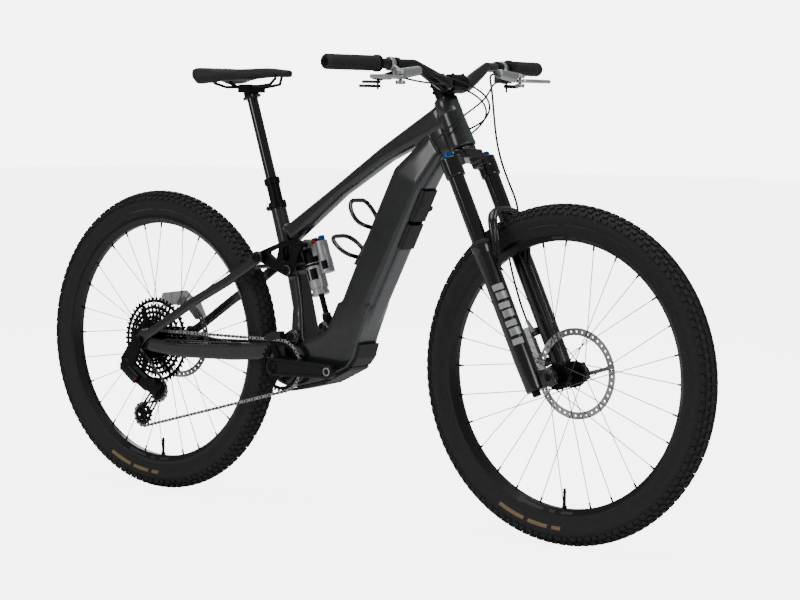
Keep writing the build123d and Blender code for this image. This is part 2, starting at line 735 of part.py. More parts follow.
def make_lever(side):
    pivot = brake_frame(side, lever_pivot_y, lever_pivot_forward, lever_pivot_down)
    with BuildPart() as lever:
        with BuildSketch(Plane(origin=pivot - Vector(0, 0, 4.5))):
            Circle(9)
            with BuildLine():
                Polyline((-7, 0), (8, -2), (13, side * 22), (10, side * 60), (9, side * 108),
                         (0, side * 112), (-3, side * 106), (-1, side * 60), (1, side * 26), close=True)
            make_face()
        extrude(amount=9)
        with Locations(Location(pivot)):
            Cylinder(3 + running_gap, 40, mode=Mode.SUBTRACT)
    return lever.part


finish(make_lever(-1), "brake_lever_right")
finish(make_lever(1), "brake_lever_left")

# shift pod on the right, dropper remote bracket on the left; each is clamped inside the brake
paddle_pivot_y = 238.0


def control_pivot(side):
    return brake_frame(side, paddle_pivot_y, -2, 40)


with BuildPart() as control_mounts:
    for side in (1, -1):
        centre, along = bar_place(side, 186)
        pivot = control_pivot(side)
        with BuildSketch(Plane(origin=centre - along * 5, z_dir=along)):
            Circle(14.5)
        extrude(amount=10)
        start = centre + Vector(-3, 0, -18.5)
        with BuildSketch(cross_plane(start, pivot + Vector(0, -side * 6, 8))):
            RectangleRounded(12, 11, 4)
        extrude(amount=(pivot + Vector(0, -side * 6, 8) - start).length)
        with Locations(Location(pivot + Vector(0, -side * 14, 11))):
            Box(26, 38, 12)
        with BuildSketch(Plane(origin=centre - along * 12, z_dir=along)):
            Circle(bar_radius + 0.05)
        extrude(amount=60, mode=Mode.SUBTRACT)
        with Locations(Location(pivot + Vector(0, 0, -4))):
            Cylinder(2.5, 26)
finish(control_mounts.part, "control_mounts")


def make_paddle(side, drop, reach, thickness):
    pivot = control_pivot(side)
    with BuildPart() as paddle:
        with BuildSketch(Plane(origin=pivot - Vector(0, 0, drop))):
            Circle(6.5)
            with BuildLine():
                Polyline((-5, 0), (6, 0), (4, side * reach), (-14, side * (reach + 4)),
                         (-16, side * (reach - 10)), close=True)
            make_face()
        extrude(amount=thickness)
        with Locations(Location(pivot)):
            Cylinder(2.5 + running_gap, 80, mode=Mode.SUBTRACT)
    return paddle.part


finish(make_paddle(-1, 3.0, 34, 6), "upshift_paddle")
finish(make_paddle(-1, 12.0, 44, 6), "downshift_paddle")
finish(make_paddle(1, 6.0, 42, 8), "remote_paddle")

# ------------------------------------------------ front brake, rebound knob
front_rotor_y = 39.5
caliper_slot = 3.6


def front_brake_plane(y):
    return Plane(origin=fork_point(0, y, 0), x_dir=front_axis, z_dir=(0, -1, 0))


with BuildPart() as front_caliper:
    with BuildSketch(front_brake_plane(58.5)):
        with BuildLine():
            Polyline((-36.4, 36), (-36.4, 142), (-48, 144), (-62, 118), (-60, 52), (-46, 36), close=True)
        make_face()
    extrude(amount=12)
    with BuildSketch(front_brake_plane(52)):
        with BuildLine():
            Polyline((-24, 70), (-24, 112), (-48, 122), (-64, 110), (-62, 66), (-40, 58), close=True)
        make_face()
    extrude(amount=24)
    with BuildSketch(front_brake_plane(front_rotor_y + caliper_slot / 2)):
        with Locations((fork_offset, 0)):
            Circle(rotor_radius + 2)
    extrude(amount=caliper_slot, mode=Mode.SUBTRACT)
    with BuildSketch(front_brake_plane(60)):
        Rectangle(2 * 36.4, 600)
    extrude(amount=17, mode=Mode.SUBTRACT)
finish(front_caliper.part, "front_caliper")

with BuildPart() as rebound_knob:
    with BuildSketch(fork_plane(0, -leg_y, -14.4)):
        RegularPolygon(9.5, 12)
    extrude(amount=-11)
finish(rebound_knob.part, "rebound_knob")

# ------------------------------------------------ wheels


def wheel_plane(x, y):
    return Plane(origin=(x, y, axle_height), x_dir=(1, 0, 0), z_dir=(0, -1, 0))


def make_tyre(x):
    crown = tyre_radius - tyre_section
    inner = tyre_section - tyre_wall
    with BuildPart() as tyre:
        with BuildSketch(Plane(origin=(x, 0, axle_height), x_dir=(0, 1, 0), z_dir=(1, 0, 0))):
            with Locations((0, crown)):
                Circle(tyre_section)
                Circle(inner, mode=Mode.SUBTRACT)
            with Locations((0, rim_outer_radius - 20)):
                Rectangle(2 * tyre_section, 40, mode=Mode.SUBTRACT)
        revolve(axis=Axis((x, 0, axle_height), (0, 1, 0)))
    return tyre.part


def make_rim(x):
    with BuildPart() as rim:
        with BuildSketch(Plane(origin=(x, 0, axle_height), x_dir=(0, 1, 0), z_dir=(1, 0, 0))):
            with BuildLine():
                Polyline((-rim_half_width, rim_outer_radius), (-rim_half_width + 2.5, rim_outer_radius),
                         (-rim_half_width + 4, rim_outer_radius - 6), (-5, rim_outer_radius - 9),
                         (5, rim_outer_radius - 9), (rim_half_width - 4, rim_outer_radius - 6),
                         (rim_half_width - 2.5, rim_outer_radius), (rim_half_width, rim_outer_radius),
                         (rim_half_width, rim_outer_radius - 9), (7, rim_outer_radius - rim_depth),
                         (-7, rim_outer_radius - rim_depth), (-rim_half_width, rim_outer_radius - 9),
                         close=True)
            make_face()
        revolve(axis=Axis((x, 0, axle_height), (0, 1, 0)))
        with BuildSketch(Plane(origin=(x, 0, axle_height - rim_outer_radius + 7))):
            Circle(3)
        extrude(amount=46)
    return rim.part


def make_spokes(x, left_flange, right_flange, flange_radius):
    """Spokes in crossed pairs: a turned-forward and a turned-back set on each flange."""
    step = 360 / (spoke_count / 4)
    with BuildPart() as spokes:
        for side, flange in ((1, left_flange), (-1, -right_flange)):
            for turn in (1, -1):
                for number in range(spoke_count // 4):
                    hub_angle = radians(number * step + (side + 1) * step / 8 + turn * step * 0.16)
                    rim_angle = hub_angle + turn * radians(step * 1.25 - step * 0.16)
                    near = flange_radius + 1.0
                    far = rim_outer_radius - rim_depth + 0.8
                    start = Vector(x + near * cos(hub_angle), flange + turn * 1.7,
                                   axle_height + near * sin(hub_angle))
                    end = Vector(x + far * cos(rim_angle), side * 3.0 + turn * 1.3,
                                 axle_height + far * sin(rim_angle))
                    with BuildSketch(cross_plane(start, end)):
                        Circle(spoke_radius)
                    extrude(amount=(end - start).length)
    return spokes.part


def make_rotor(x, y, bore):
    with BuildPart() as rotor:
        with BuildSketch(wheel_plane(x, y + rotor_thickness / 2)):
            Circle(rotor_radius)
            Circle(rotor_radius - 16, mode=Mode.SUBTRACT)
            with PolarLocations(0, 8):
                with BuildLine():
                    Polyline((bore - 2, -6), (rotor_radius - 15, 14), (rotor_radius - 15, 22),
                             (bore - 2, 4), close=True)
                make_face()
            Circle(bore + 8)
            with PolarLocations(rotor_radius - 8, 40):
                Circle(2.4, mode=Mode.SUBTRACT)
            Circle(bore, mode=Mode.SUBTRACT)
        extrude(amount=rotor_thickness)
    return rotor.part


flange_radius = 29.0
front_flange = (28.0, 32.0)
rear_flange = (30.0, 17.0)
rear_rotor_y = 58.5
rear_half_width = 74.0
cassette_inner_y = 24.0
cog_spacing = (chain_line - cassette_inner_y) / 10
freehub_radius = 17.0

finish(make_tyre(wheel_x), "front_tyre")
finish(make_rim(wheel_x), "front_rim")
finish(make_spokes(wheel_x, *front_flange, flange_radius), "front_spokes")
with BuildPart() as front_hub:
    with Locations(across(wheel_x, 0, axle_height)):
        Cylinder(14, 2 * (hub_half_width - 1.5))
    with Locations(across(wheel_x, front_flange[0], axle_height),
                   across(wheel_x, -front_flange[1], axle_height)):
        Cylinder(flange_radius, 7)
    with Locations(across(wheel_x, front_rotor_y - 2.6, axle_height)):
        Cylinder(20, 7)
    with Locations(across(wheel_x, hub_half_width - 1.2, axle_height),
                   across(wheel_x, -hub_half_width + 1.2, axle_height)):
        Cylinder(11, 2)
    with Locations(across(wheel_x, 0, axle_height)):
        Cylinder(axle_radius + running_gap, 200, mode=Mode.SUBTRACT)
finish(front_hub.part, "front_hub")
finish(make_rotor(wheel_x, front_rotor_y, 20.05), "front_rotor")

finish(make_tyre(-wheel_x), "rear_tyre")
finish(make_rim(-wheel_x), "rear_rim")
finish(make_spokes(-wheel_x, *rear_flange, flange_radius), "rear_spokes")
rear_axle_radius = 6.0
with BuildPart() as rear_hub:
    with Locations(across(-wheel_x, (rear_half_width - 2 - 22) / 2, axle_height)):
        Cylinder(15, rear_half_width - 2 + 22)
    with Locations(across(-wheel_x, rear_flange[0], axle_height),
                   across(-wheel_x, -rear_flange[1], axle_height)):
        Cylinder(flange_radius, 7)
    with Locations(across(-wheel_x, rear_rotor_y - 3, axle_height)):
        Cylinder(20, 10)
    with Locations(across(-wheel_x, 0, axle_height)):
        Cylinder(rear_axle_radius + running_gap, 300, mode=Mode.SUBTRACT)
finish(rear_hub.part, "rear_hub")
finish(make_rotor(-wheel_x, rear_rotor_y, 20.05), "rear_rotor")

cog_teeth_all = [52, 44, 38, 32, 28, 24, 21, 18, 16, 15, cog_teeth, 12]


def toothed_outline(teeth, depth):
    """Tooth tips and roots of a sprocket in mesh with the half-inch chain."""
    pitch = chain_pitch / (2 * sin(pi / teeth))
    points = []
    for number in range(teeth):
        for share, radius in ((-0.30, pitch - depth), (-0.10, pitch + depth * 0.75),
                              (0.10, pitch + depth * 0.75), (0.30, pitch - depth)):
            angle = 2 * pi * (number + share) / teeth
            points.append((radius * cos(angle), radius * sin(angle)))
    return points


with BuildPart() as cassette:
    for number, teeth in enumerate(cog_teeth_all):
        y = -(cassette_inner_y + number * cog_spacing)
        pitch = chain_pitch / (2 * sin(pi / teeth))
        with BuildSketch(wheel_plane(-wheel_x, y + 0.9)):
            with BuildLine():
                Polyline(*toothed_outline(teeth, 3.6), close=True)
            make_face()
            if pitch > 45:
                Circle(pitch - 11, mode=Mode.SUBTRACT)
                with PolarLocations(0, 6):
                    with Locations((pitch / 2, 0)):
                        Rectangle(pitch - 8, 7)
                Circle(freehub_radius + 6)
            Circle(freehub_radius, mode=Mode.SUBTRACT)
        extrude(amount=1.8)
    with BuildSketch(wheel_plane(-wheel_x, -cassette_inner_y + 1.5)):
        Circle(freehub_radius + 4)
        Circle(15.6, mode=Mode.SUBTRACT)
    extrude(amount=11.6 * cog_spacing + 2)
    with Locations(across(-wheel_x, -66.5, axle_height)):
        Cylinder(13, 9)
    with Locations(across(-wheel_x, -40, axle_height)):
        Cylinder(rear_axle_radius + running_gap, 100, mode=Mode.SUBTRACT)
finish(cassette.part, "cassette")

# ------------------------------------------------ crank and chainring
arm_inner = 68.0
pedal_thread_radius = 7.1
with BuildPart() as crank_arms:
    with Locations(across(bottom_bracket[0], 0, bottom_bracket[1])):
        Cylinder(spindle_radius, 2 * (arm_inner + 2))
    for side, reach in ((-1, 1), (1, -1)):
        pedal_x = bottom_bracket[0] + reach * crank_length
        with BuildSketch(Plane(origin=(0, side * arm_inner, 0), x_dir=(1, 0, 0),
                               z_dir=(0, -1, 0)) if side == 1
                         else Plane(origin=(0, -arm_inner, 0), x_dir=(1, 0, 0), z_dir=(0, -1, 0))):
            with Locations(bottom_bracket):
                Circle(20)
            with Locations((pedal_x, bottom_bracket[1])):
                Circle(15.5)
            with BuildLine():
                Polyline((bottom_bracket[0] + reach * 2, bottom_bracket[1] + 20),
                         (pedal_x, bottom_bracket[1] + 15),
                         (pedal_x, bottom_bracket[1] - 15), (bottom_bracket[0] + reach * 2,
                                                             bottom_bracket[1] - 20),
                         close=True)
            make_face()
        extrude(amount=-side * 18)
        with Locations(across(bottom_bracket[0], side * (arm_inner + 19), bottom_bracket[1])):
            Cylinder(11, 3)
        with Locations(across(pedal_x, side * (arm_inner + 10), bottom_bracket[1])):
            Cylinder(pedal_thread_radius, 30, mode=Mode.SUBTRACT)
    with Locations(across(bottom_bracket[0], 0, bottom_bracket[1])):
        Cylinder(5, 400, mode=Mode.SUBTRACT)
finish(crank_arms.part, "crank_arms")

with BuildPart() as chainring:
    with BuildSketch(Plane(origin=(bottom_bracket[0], -chain_line + 0.95, bottom_bracket[1]),
                           x_dir=(1, 0, 0), z_dir=(0, -1, 0))):
        with BuildLine():
            Polyline(*toothed_outline(chainring_teeth, 3.6), close=True)
        make_face()
        Circle(ring_radius - 12, mode=Mode.SUBTRACT)
        with PolarLocations(0, 3):
            with Locations((ring_radius / 2, 0)):
                Rectangle(ring_radius - 10, 16)
        Circle(24)
        Circle(spindle_radius + 0.02, mode=Mode.SUBTRACT)
    extrude(amount=1.9)
    with BuildSketch(Plane(origin=(bottom_bracket[0], -chain_line - 0.9, bottom_bracket[1]),
                           x_dir=(1, 0, 0), z_dir=(0, -1, 0))):
        Circle(24)
        Circle(spindle_radius + 0.02, mode=Mode.SUBTRACT)
    extrude(amount=arm_inner - chain_line - 0.9)
finish(chainring.part, "chainring")

# ------------------------------------------------ rear triangle
stay_middle = stay_inner + stay_thickness / 2
stay_stations = [(-205, stay_middle, 376, 40, stay_thickness), (-250, stay_middle, 370, 42, stay_thickness),
                 (-330, 50.0, 364, 42, 12), (-480, 71.5, 360, 36, 13), (-560, 76.5, 366, 34, 10),
                 (-590, 77.8, 371, 32, 7)]
dropout_inner = rear_half_width + 0.4
dropout_outer = 81.4
with BuildPart() as chainstay:
    for side in (1, -1):
        # ear round the main pivot
        with BuildSketch(side_plane(side * stay_inner)):
            with Locations(main_pivot):
                Circle(18)
            with BuildLine():
                Polyline((main_pivot[0] - 6, main_pivot[1] + 17), (-205, 395), (-205, 357), (-190, 364),
                         (main_pivot[0] + 8, main_pivot[1] - 16), close=True)
            make_face()
        extrude(amount=-side * stay_thickness)
        for (x, y, z, height, width) in stay_stations:
            with BuildSketch(Plane(origin=(x, side * y, z), x_dir=(0, 0, 1), z_dir=(-1, 0, 0))):
                RectangleRounded(height, width, width * 0.42)
        loft(ruled=True)
        with BuildSketch(side_plane(side * dropout_inner)):
            with Locations((-wheel_x, axle_height)):
                Circle(18)
            with BuildLine():
                Polyline((-wheel_x, axle_height + 18), (-580, 385), (-580, 356),
                         (-wheel_x, axle_height - 18), close=True)
            make_face()
        extrude(amount=-side * (dropout_outer - dropout_inner))
    # bridge between the stays, behind the motor and ahead of the tyre
    with BuildSketch(side_plane(0)):
        with BuildLine():
            Polyline((-224, 396), (-213, 396), (-213, 352), (-220, 352), close=True)
        make_face()
    extrude(amount=stay_inner + 3, both=True)
    for point, radius in ((main_pivot, 8 + running_gap), ((-wheel_x, axle_height),
                                                          rear_axle_radius + 0.04)):
        with Locations(across(point[0], 0, point[1])):
            Cylinder(radius, 400, mode=Mode.SUBTRACT)
finish(chainstay.part, "chainstay")

seat_eye_inner, seat_eye_outer = dropout_outer + 0.5, dropout_outer + 6.5
derailleur_inner = seat_eye_outer + 0.5
derailleur_mount = 9.0
with BuildPart() as rear_axle:
    with Locations(across(-wheel_x, (seat_eye_outer + 3 - derailleur_inner - derailleur_mount) / 2,
                          axle_height)):
        Cylinder(rear_axle_radius, seat_eye_outer + 3 + derailleur_inner + derailleur_mount)
    with Locations(across(-wheel_x, seat_eye_outer + 2.6, axle_height)):
        Cylinder(10, 4)
    with Locations(across(-wheel_x, seat_eye_outer + 4, axle_height)):
        Cylinder(3, 12, mode=Mode.SUBTRACT)
finish(rear_axle.part, "rear_axle")

upper_eye_inner, upper_eye_outer = 48.0, 60.0
seatstay_stations = [(-585, 84.9, 387, 24, 6), (-545, 83.0, 409, 23, 9), (-440, 75.0, 474, 23, 14),
                     (-330, 63.0, 534, 24, 14), (-250, 54.2, 584, 26, 12)]
with BuildPart() as seatstay:
    for side in (1, -1):
        with BuildSketch(side_plane(side * seat_eye_inner)):
            with Locations((-wheel_x, axle_height)):
                Circle(15)
            with BuildLine():
                Polyline((-619, 374), (-600, 402), (-580, 402), (-578, 376), (-592, 366), close=True)
            make_face()
        extrude(amount=-side * (seat_eye_outer - seat_eye_inner))
        for (x, y, z, height, width) in seatstay_stations:
            with BuildSketch(Plane(origin=(x, side * y, z), x_dir=(-0.49, 0, 0.87), z_dir=(0.87, 0, 0.49))):
                RectangleRounded(height, width, width * 0.4)
        loft(ruled=True)
        with BuildSketch(side_plane(side * upper_eye_inner)):
            with Locations(rear_upper_pivot):
                Circle(15)
            with BuildLine():
                Polyline((-247, 608), (-268, 592), (-256, 570), (-232, 583), close=True)
            make_face()
        extrude(amount=-side * (upper_eye_outer - upper_eye_inner))
    # bridge above the tyre
    with Locations(across(-275, 0, 569)):
        Cylinder(6, 2 * 52)
    for point, radius in ((rear_upper_pivot, 5 + open_pivot_play),
                          ((-wheel_x, axle_height), rear_axle_radius + running_gap)):
        with Locations(across(point[0], 0, point[1])):
            Cylinder(radius, 400, mode=Mode.SUBTRACT)
finish(seatstay.part, "seatstay")

rocker_inner, rocker_outer = 33.6, 44.0
rocker_outline = [(rear_upper_pivot[0] - 4, rear_upper_pivot[1] + 13.5), (-170, 636),
                  (shock_upper_pivot[0] - 6, shock_upper_pivot[1] + 15),
                  (shock_upper_pivot[0] + 14, shock_upper_pivot[1] + 4),
                  (rocker_pivot[0] + 15, rocker_pivot[1] - 3),
                  (rocker_pivot[0] - 6, rocker_pivot[1] - 15),
                  (rear_upper_pivot[0] + 2, rear_upper_pivot[1] - 14)]
with BuildPart() as rocker_link:
    for side in (1, -1):
        with BuildSketch(side_plane(side * rocker_inner)):
            with BuildLine():
                Polyline(*rocker_outline, close=True)
            make_face()
            with Locations(rear_upper_pivot):
                Circle(14)
            with Locations(shock_upper_pivot):
                Circle(15)
            with Locations(rocker_pivot):
                Circle(16)
            with BuildLine():
                Polyline((-216, 606), (-184, 620), (-192, 590), close=True)
            make_face(mode=Mode.SUBTRACT)
            with BuildLine():
                Polyline((-171, 622), (-147, 626), (-151, 590), (-168, 588), close=True)
            make_face(mode=Mode.SUBTRACT)
        extrude(amount=-side * (rocker_outer - rocker_inner))
    with Locations(across(shock_upper_pivot[0], 0, shock_upper_pivot[1])):
        Cylinder(4, 92)
    for side in (1, -1):
        with Locations(across(rear_upper_pivot[0], side * (rocker_inner + 62) / 2, rear_upper_pivot[1])):
            Cylinder(5, 62 - rocker_inner)
        with Locations(across(rear_upper_pivot[0], side * 62.5, rear_upper_pivot[1])):
            Cylinder(12, 4)
        with Locations(across(shock_upper_pivot[0], side * 45.5, shock_upper_pivot[1])):
            Cylinder(9, 3)
    with Locations(across(rocker_pivot[0], 0, rocker_pivot[1])):
        Cylinder(8 + running_gap, 200, mode=Mode.SUBTRACT)
finish(rocker_link.part, "rocker_link")

# ------------------------------------------------ shock
shock_low = Vector(shock_lower_pivot[0], 0, shock_lower_pivot[1])
shock_high = Vector(shock_upper_pivot[0], 0, shock_upper_pivot[1])
shock_line = (shock_low - shock_high).normalized()
shock_length = (shock_low - shock_high).length
shock_forward = Vector(-shock_line.Z, 0, shock_line.X)
shock_shaft_radius = 7.0


def shock_plane(along, out=0.0):
    """A plane square to the shock, measured down from its upper eye and forward of its middle."""
    return Plane(origin=shock_high + shock_line * along + shock_forward * out, x_dir=shock_forward,
                 z_dir=shock_line)


can_start, can_end, seal_end = 20.0, 106.0, 122.0
piston_start = 93.0
with BuildPart() as shock_can:
    with Locations(across(shock_high.X, 0, shock_high.Z)):
        Cylinder(14, 24)
    for start, end, radius in ((10, 46, 19.5), (46, can_end, 22), (can_end, can_end + 8, 19),
                               (can_end + 8, seal_end, 21)):
        with BuildSketch(shock_plane(start)):
            Circle(radius)
        extrude(amount=end - start)
    with BuildSketch(shock_plane(6, 18)):
        RectangleRounded(40, 26, 8)
    extrude(amount=26)
    with BuildSketch(shock_plane(2, 37.5)):
        Circle(15.5)
    extrude(amount=42)
    with BuildSketch(shock_plane(44, 37.5)):
        Circle(16.5)
    extrude(amount=34)
    with Locations(across(shock_high.X, 0, shock_high.Z)):
        Cylinder(4 + open_pivot_play, 60, mode=Mode.SUBTRACT)
    with BuildSketch(shock_plane(48)):
        Circle(shock_shaft_radius + running_gap)
    extrude(amount=120, mode=Mode.SUBTRACT)
    with BuildSketch(shock_plane(48)):
        Circle(17)
    extrude(amount=can_end - 6 - 48, mode=Mode.SUBTRACT)
finish(shock_can.part, "shock_can")

with BuildPart() as shock_shaft:
    with BuildSketch(shock_plane(piston_start)):
        Circle(16.9)
    extrude(amount=6)
    with BuildSketch(shock_plane(piston_start)):
        Circle(shock_shaft_radius)
    extrude(amount=shock_length - piston_start - 10)
    with BuildSketch(shock_plane(shock_length - 22)):
        Circle(11.5)
    extrude(amount=14)
    with Locations(across(shock_low.X, 0, shock_low.Z)):
        Cylinder(11, 26)
    with Locations(across(shock_low.X, 0, shock_low.Z)):
        Cylinder(4 + running_gap, 60, mode=Mode.SUBTRACT)
finish(shock_shaft.part, "shock_shaft")


def make_shock_knob(along, out, radius, height, notches):
    with BuildPart() as knob:
        with BuildSketch(shock_plane(along, out)):
            Circle(radius)
            with PolarLocations(radius + 0.6, notches):
                Circle(1.3, mode=Mode.SUBTRACT)
        extrude(amount=-height)
    return knob.part


finish(make_shock_knob(1.6, 21, 6.5, 12, 8), "shock_rebound_knob")
finish(make_shock_knob(1.6, 42, 8.0, 12, 10), "shock_compression_knob")

# ------------------------------------------------ rear brake and derailleur
with BuildPart() as rear_caliper:
    with BuildSketch(side_plane(rear_rotor_y + 13)):
        with BuildLine():
            Polyline((-660, 462), (-650, 484), (-590, 492), (-566, 474), (-572, 455), (-620, 455),
                     close=True)
        make_face()
    extrude(amount=26)
    with BuildSketch(side_plane(90)):
        with BuildLine():
            Polyline((-585, 478), (-566, 474), (-540, 428), (-556, 420), (-600, 462), close=True)
        make_face()
    extrude(amount=24)
    with BuildSketch(side_plane(rear_rotor_y + caliper_slot / 2)):
        with Locations((-wheel_x, axle_height)):
            Circle(rotor_radius + 2)
    extrude(amount=caliper_slot, mode=Mode.SUBTRACT)
    with BuildSketch(Plane(origin=(-545, 83, 409), x_dir=(-0.49, 0, 0.87), z_dir=(0.87, 0, 0.49))):
        RectangleRounded(25, 16, 3)
    extrude(amount=120, both=True, mode=Mode.SUBTRACT)
finish(rear_caliper.part, "rear_caliper")

cage_half = 7.2
cage_inner_y = -chain_line + cage_half
cage_outer_y = -chain_line - cage_half
cage_pivot = (-560.0, 268.0)
pulley_pin = 2.5
with BuildPart() as derailleur_body:
    with BuildSketch(side_plane(-derailleur_inner)):
        with Locations((-wheel_x, axle_height)):
            Circle(16)
        with BuildLine():
            Polyline((-619, 380), (-658, 330), (-646, 296), (-620, 300), (-588, 370), close=True)
        make_face()
        with Locations((-wheel_x, axle_height)):
            Circle(rear_axle_radius + 0.05, mode=Mode.SUBTRACT)
    extrude(amount=derailleur_mount)
    with BuildSketch(Plane(origin=(-650, -90, 318), x_dir=(0, 1, 0), z_dir=(75, 0, -52))):
        RectangleRounded(22, 40, 8)
    with BuildSketch(Plane(origin=(-572, -81.4, 266), x_dir=(0, 1, 0), z_dir=(75, 0, -52))):
        RectangleRounded(22, 36, 8)
    loft()
    with Locations(across(cage_pivot[0], cage_outer_y - 17.2, cage_pivot[1])):
        Cylinder(19, 24)
    with Locations(across(cage_pivot[0], cage_outer_y - 2, cage_pivot[1])):
        Cylinder(5, 12)
finish(derailleur_body.part, "derailleur_body")

with BuildPart() as derailleur_cage:
    for y, thickness in ((cage_inner_y + 2.2, 2.2), (cage_outer_y, 2.2)):
        with BuildSketch(side_plane(y)):
            for centre, radius in ((cage_pivot, 12), (upper_pulley_centre, 15), (lower_pulley_centre, 17)):
                with Locations(centre):
                    Circle(radius)
            with BuildLine():
                Polyline((-548, 268), (-552, 250), (-603, 178), (-632, 196), (-580, 262), (-572, 272),
                         close=True)
            make_face()
        extrude(amount=thickness)
    for centre in (upper_pulley_centre, lower_pulley_centre):
        with Locations(across(centre[0], -chain_line, centre[1])):
            Cylinder(pulley_pin, 2 * cage_half + 2)
    with Locations(across(cage_pivot[0], cage_outer_y, cage_pivot[1])):
        Cylinder(5 + running_gap, 16, mode=Mode.SUBTRACT)
finish(derailleur_cage.part, "derailleur_cage")

for name, centre in (("upper_pulley", upper_pulley_centre), ("lower_pulley", lower_pulley_centre)):
    with BuildPart() as pulley:
        with BuildSketch(Plane(origin=(centre[0], -chain_line + 0.95, centre[1]), x_dir=(1, 0, 0),
                               z_dir=(0, -1, 0))):
            with BuildLine():
                Polyline(*toothed_outline(pulley_teeth, 3.6), close=True)
            make_face()
            with PolarLocations(14, 6):
                Circle(3.6, mode=Mode.SUBTRACT)
            Circle(pulley_pin + running_gap, mode=Mode.SUBTRACT)
        extrude(amount=1.9)
        with Locations(across(centre[0], -chain_line, centre[1])):
            Cylinder(8, 10)
            Cylinder(pulley_pin + running_gap, 20, mode=Mode.SUBTRACT)
    finish(pulley.part, name)

# ------------------------------------------------ chain: two plate loops on one line of pitch circles


def tangent_points(centre_a, radius_a, centre_b, radius_b, side_a, side_b):
    """Touching points of the line from circle a to circle b; a side of 1 has the line on the circle's left."""
    gap = Vector(centre_b[0] - centre_a[0], centre_b[1] - centre_a[1])
    offset_sum = side_a * radius_a - side_b * radius_b
    turn = atan2(gap.Y, gap.X) + atan2(sqrt(gap.length ** 2 - offset_sum ** 2), offset_sum)
    out = Vector(cos(turn), sin(turn))
    start = Vector(centre_a[0], centre_a[1]) + out * side_a * radius_a
    end = Vector(centre_b[0], centre_b[1]) + out * side_b * radius_b
    return start, end


chain_circles = [(bottom_bracket, ring_radius, 1), (lower_pulley_centre, pulley_radius, 1),
                 (upper_pulley_centre, pulley_radius, -1), ((-wheel_x, axle_height), cog_radius, 1)]


def chain_loop(shift):
    """The chain's closed path, moved outwards by shift."""
    spans = []
    for number, (centre, radius, side) in enumerate(chain_circles):
        next_centre, next_radius, next_side = chain_circles[(number + 1) % len(chain_circles)]
        spans.append(tangent_points(centre, radius + side * shift, next_centre,
                                    next_radius + next_side * shift, side, next_side))
    with BuildLine() as loop:
        for number, (centre, radius, side) in enumerate(chain_circles):
            arrive, leave = spans[number - 1][1], spans[number][0]
            middle = Vector(centre[0], centre[1])
            reach = radius + side * shift
            start_angle = atan2((arrive - middle).Y, (arrive - middle).X)
            end_angle = atan2((leave - middle).Y, (leave - middle).X)
            sweep_angle = (start_angle - end_angle) % (2 * pi) if side == 1 else -((end_angle - start_angle) % (2 * pi))
            half_angle = start_angle - sweep_angle / 2
            through = middle + Vector(cos(half_angle), sin(half_angle)) * reach
            ThreePointArc((arrive.X, arrive.Y), (through.X, through.Y), (leave.X, leave.Y))
            Line((spans[number][0].X, spans[number][0].Y), (spans[number][1].X, spans[number][1].Y))
    return loop.wires()[0]


plate_gap = 1.2
plate_thickness = 1.0
outer_loop = chain_loop(chain_half_height)
inner_loop = chain_loop(-chain_half_height)
with BuildPart() as chain:
    for y in (-chain_line + plate_gap + plate_thickness, -chain_line - plate_gap):
        with BuildSketch(side_plane(y)):
            make_face(outer_loop.edges())
            make_face(inner_loop.edges(), mode=Mode.SUBTRACT)
        extrude(amount=plate_thickness)
finish(chain.part, "chain")

# ------------------------------------------------ brake hoses and control lines


def held_line(points, radius):
    """A hose along its held route: straight runs joined by arcs as large as the runs allow."""
    radii = []
    for before, corner, after in zip(points, points[1:], points[2:]):
        turn = radians((corner - before).get_angle(after - corner))
        shorter = min((corner - before).length, (after - corner).length)
        radii.append(0.45 * shorter / tan(turn / 2))
    with BuildPart() as line:
        with BuildLine() as path:
            FilletPolyline(*points, radius=radii)
        with BuildSketch(cross_plane(points[0], points[1])):
            Circle(radius)
        sweep(path=path.wires()[0])
    return line.part


hose_radius = 2.5
front_hose_route = [Vector(309, 145, 1026), Vector(312, 122, 1025), Vector(322, 100, 1018),
                    Vector(338, 82, 1002),
                    Vector(354, 66, 976), Vector(366, 54, 944), Vector(376, 46, 908), Vector(386, 42, 866),
                    Vector(400, 41, 824), Vector(420, 41, 782), Vector(440, 40.5, 744),
                    Vector(448, 39.5, 710),
                    Vector(428, 38.5, 680), Vector(420, 38, 650), Vector(424, 38, 616),
                    Vector(434, 38.5, 578),
                    Vector(446, 40, 540), Vector(456, 44, 506), Vector(466, 48, 480)]
finish(held_line(front_hose_route, hose_radius), "front_brake_hose")

control_routes = [
    [Vector(309, -145, 1026), Vector(316, -112, 1022), Vector(334, -78, 1014), Vector(352, -44, 1004),
     Vector(366, -8, 990), Vector(370, 26, 970), Vector(362, 48, 946), Vector(346, 52, 924),
     Vector(330, 44, 910), Vector(317, 33.5, 902)],
    [Vector(296, -176, 1010), Vector(306, -146, 1004), Vector(324, -112, 1000), Vector(342, -76, 996),
     Vector(356, -40, 988), Vector(364, -6, 974), Vector(364, 26, 954), Vector(354, 45, 932),
     Vector(339, 47, 912), Vector(327, 38, 898), Vector(319, 30.5, 888)],
    [Vector(296, 176, 1010), Vector(304, 146, 1006), Vector(320, 112, 998), Vector(336, 80, 986),
     Vector(348, 48, 970), Vector(350, 16, 954), Vector(346, -16, 937), Vector(334, -38, 920),
     Vector(316, -46, 903), Vector(296, -42, 890), Vector(281, -35, 881)]]
with BuildPart() as control_lines:
    for route in control_routes:
        add(held_line(route, 2.2))
finish(control_lines.part, "control_lines")
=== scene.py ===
# %% [markdown]
# # Full-suspension electric mountain bike: looks
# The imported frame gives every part's place. Each cell adds one group of pieces on top of it: carbon
# skins, tyres, wheels, fork, shock, drivetrain, cockpit, saddle and hoses. Lengths are in metres; the
# axes are X forward, Y to the rider's left and Z up, with the origin on the ground between the wheels.

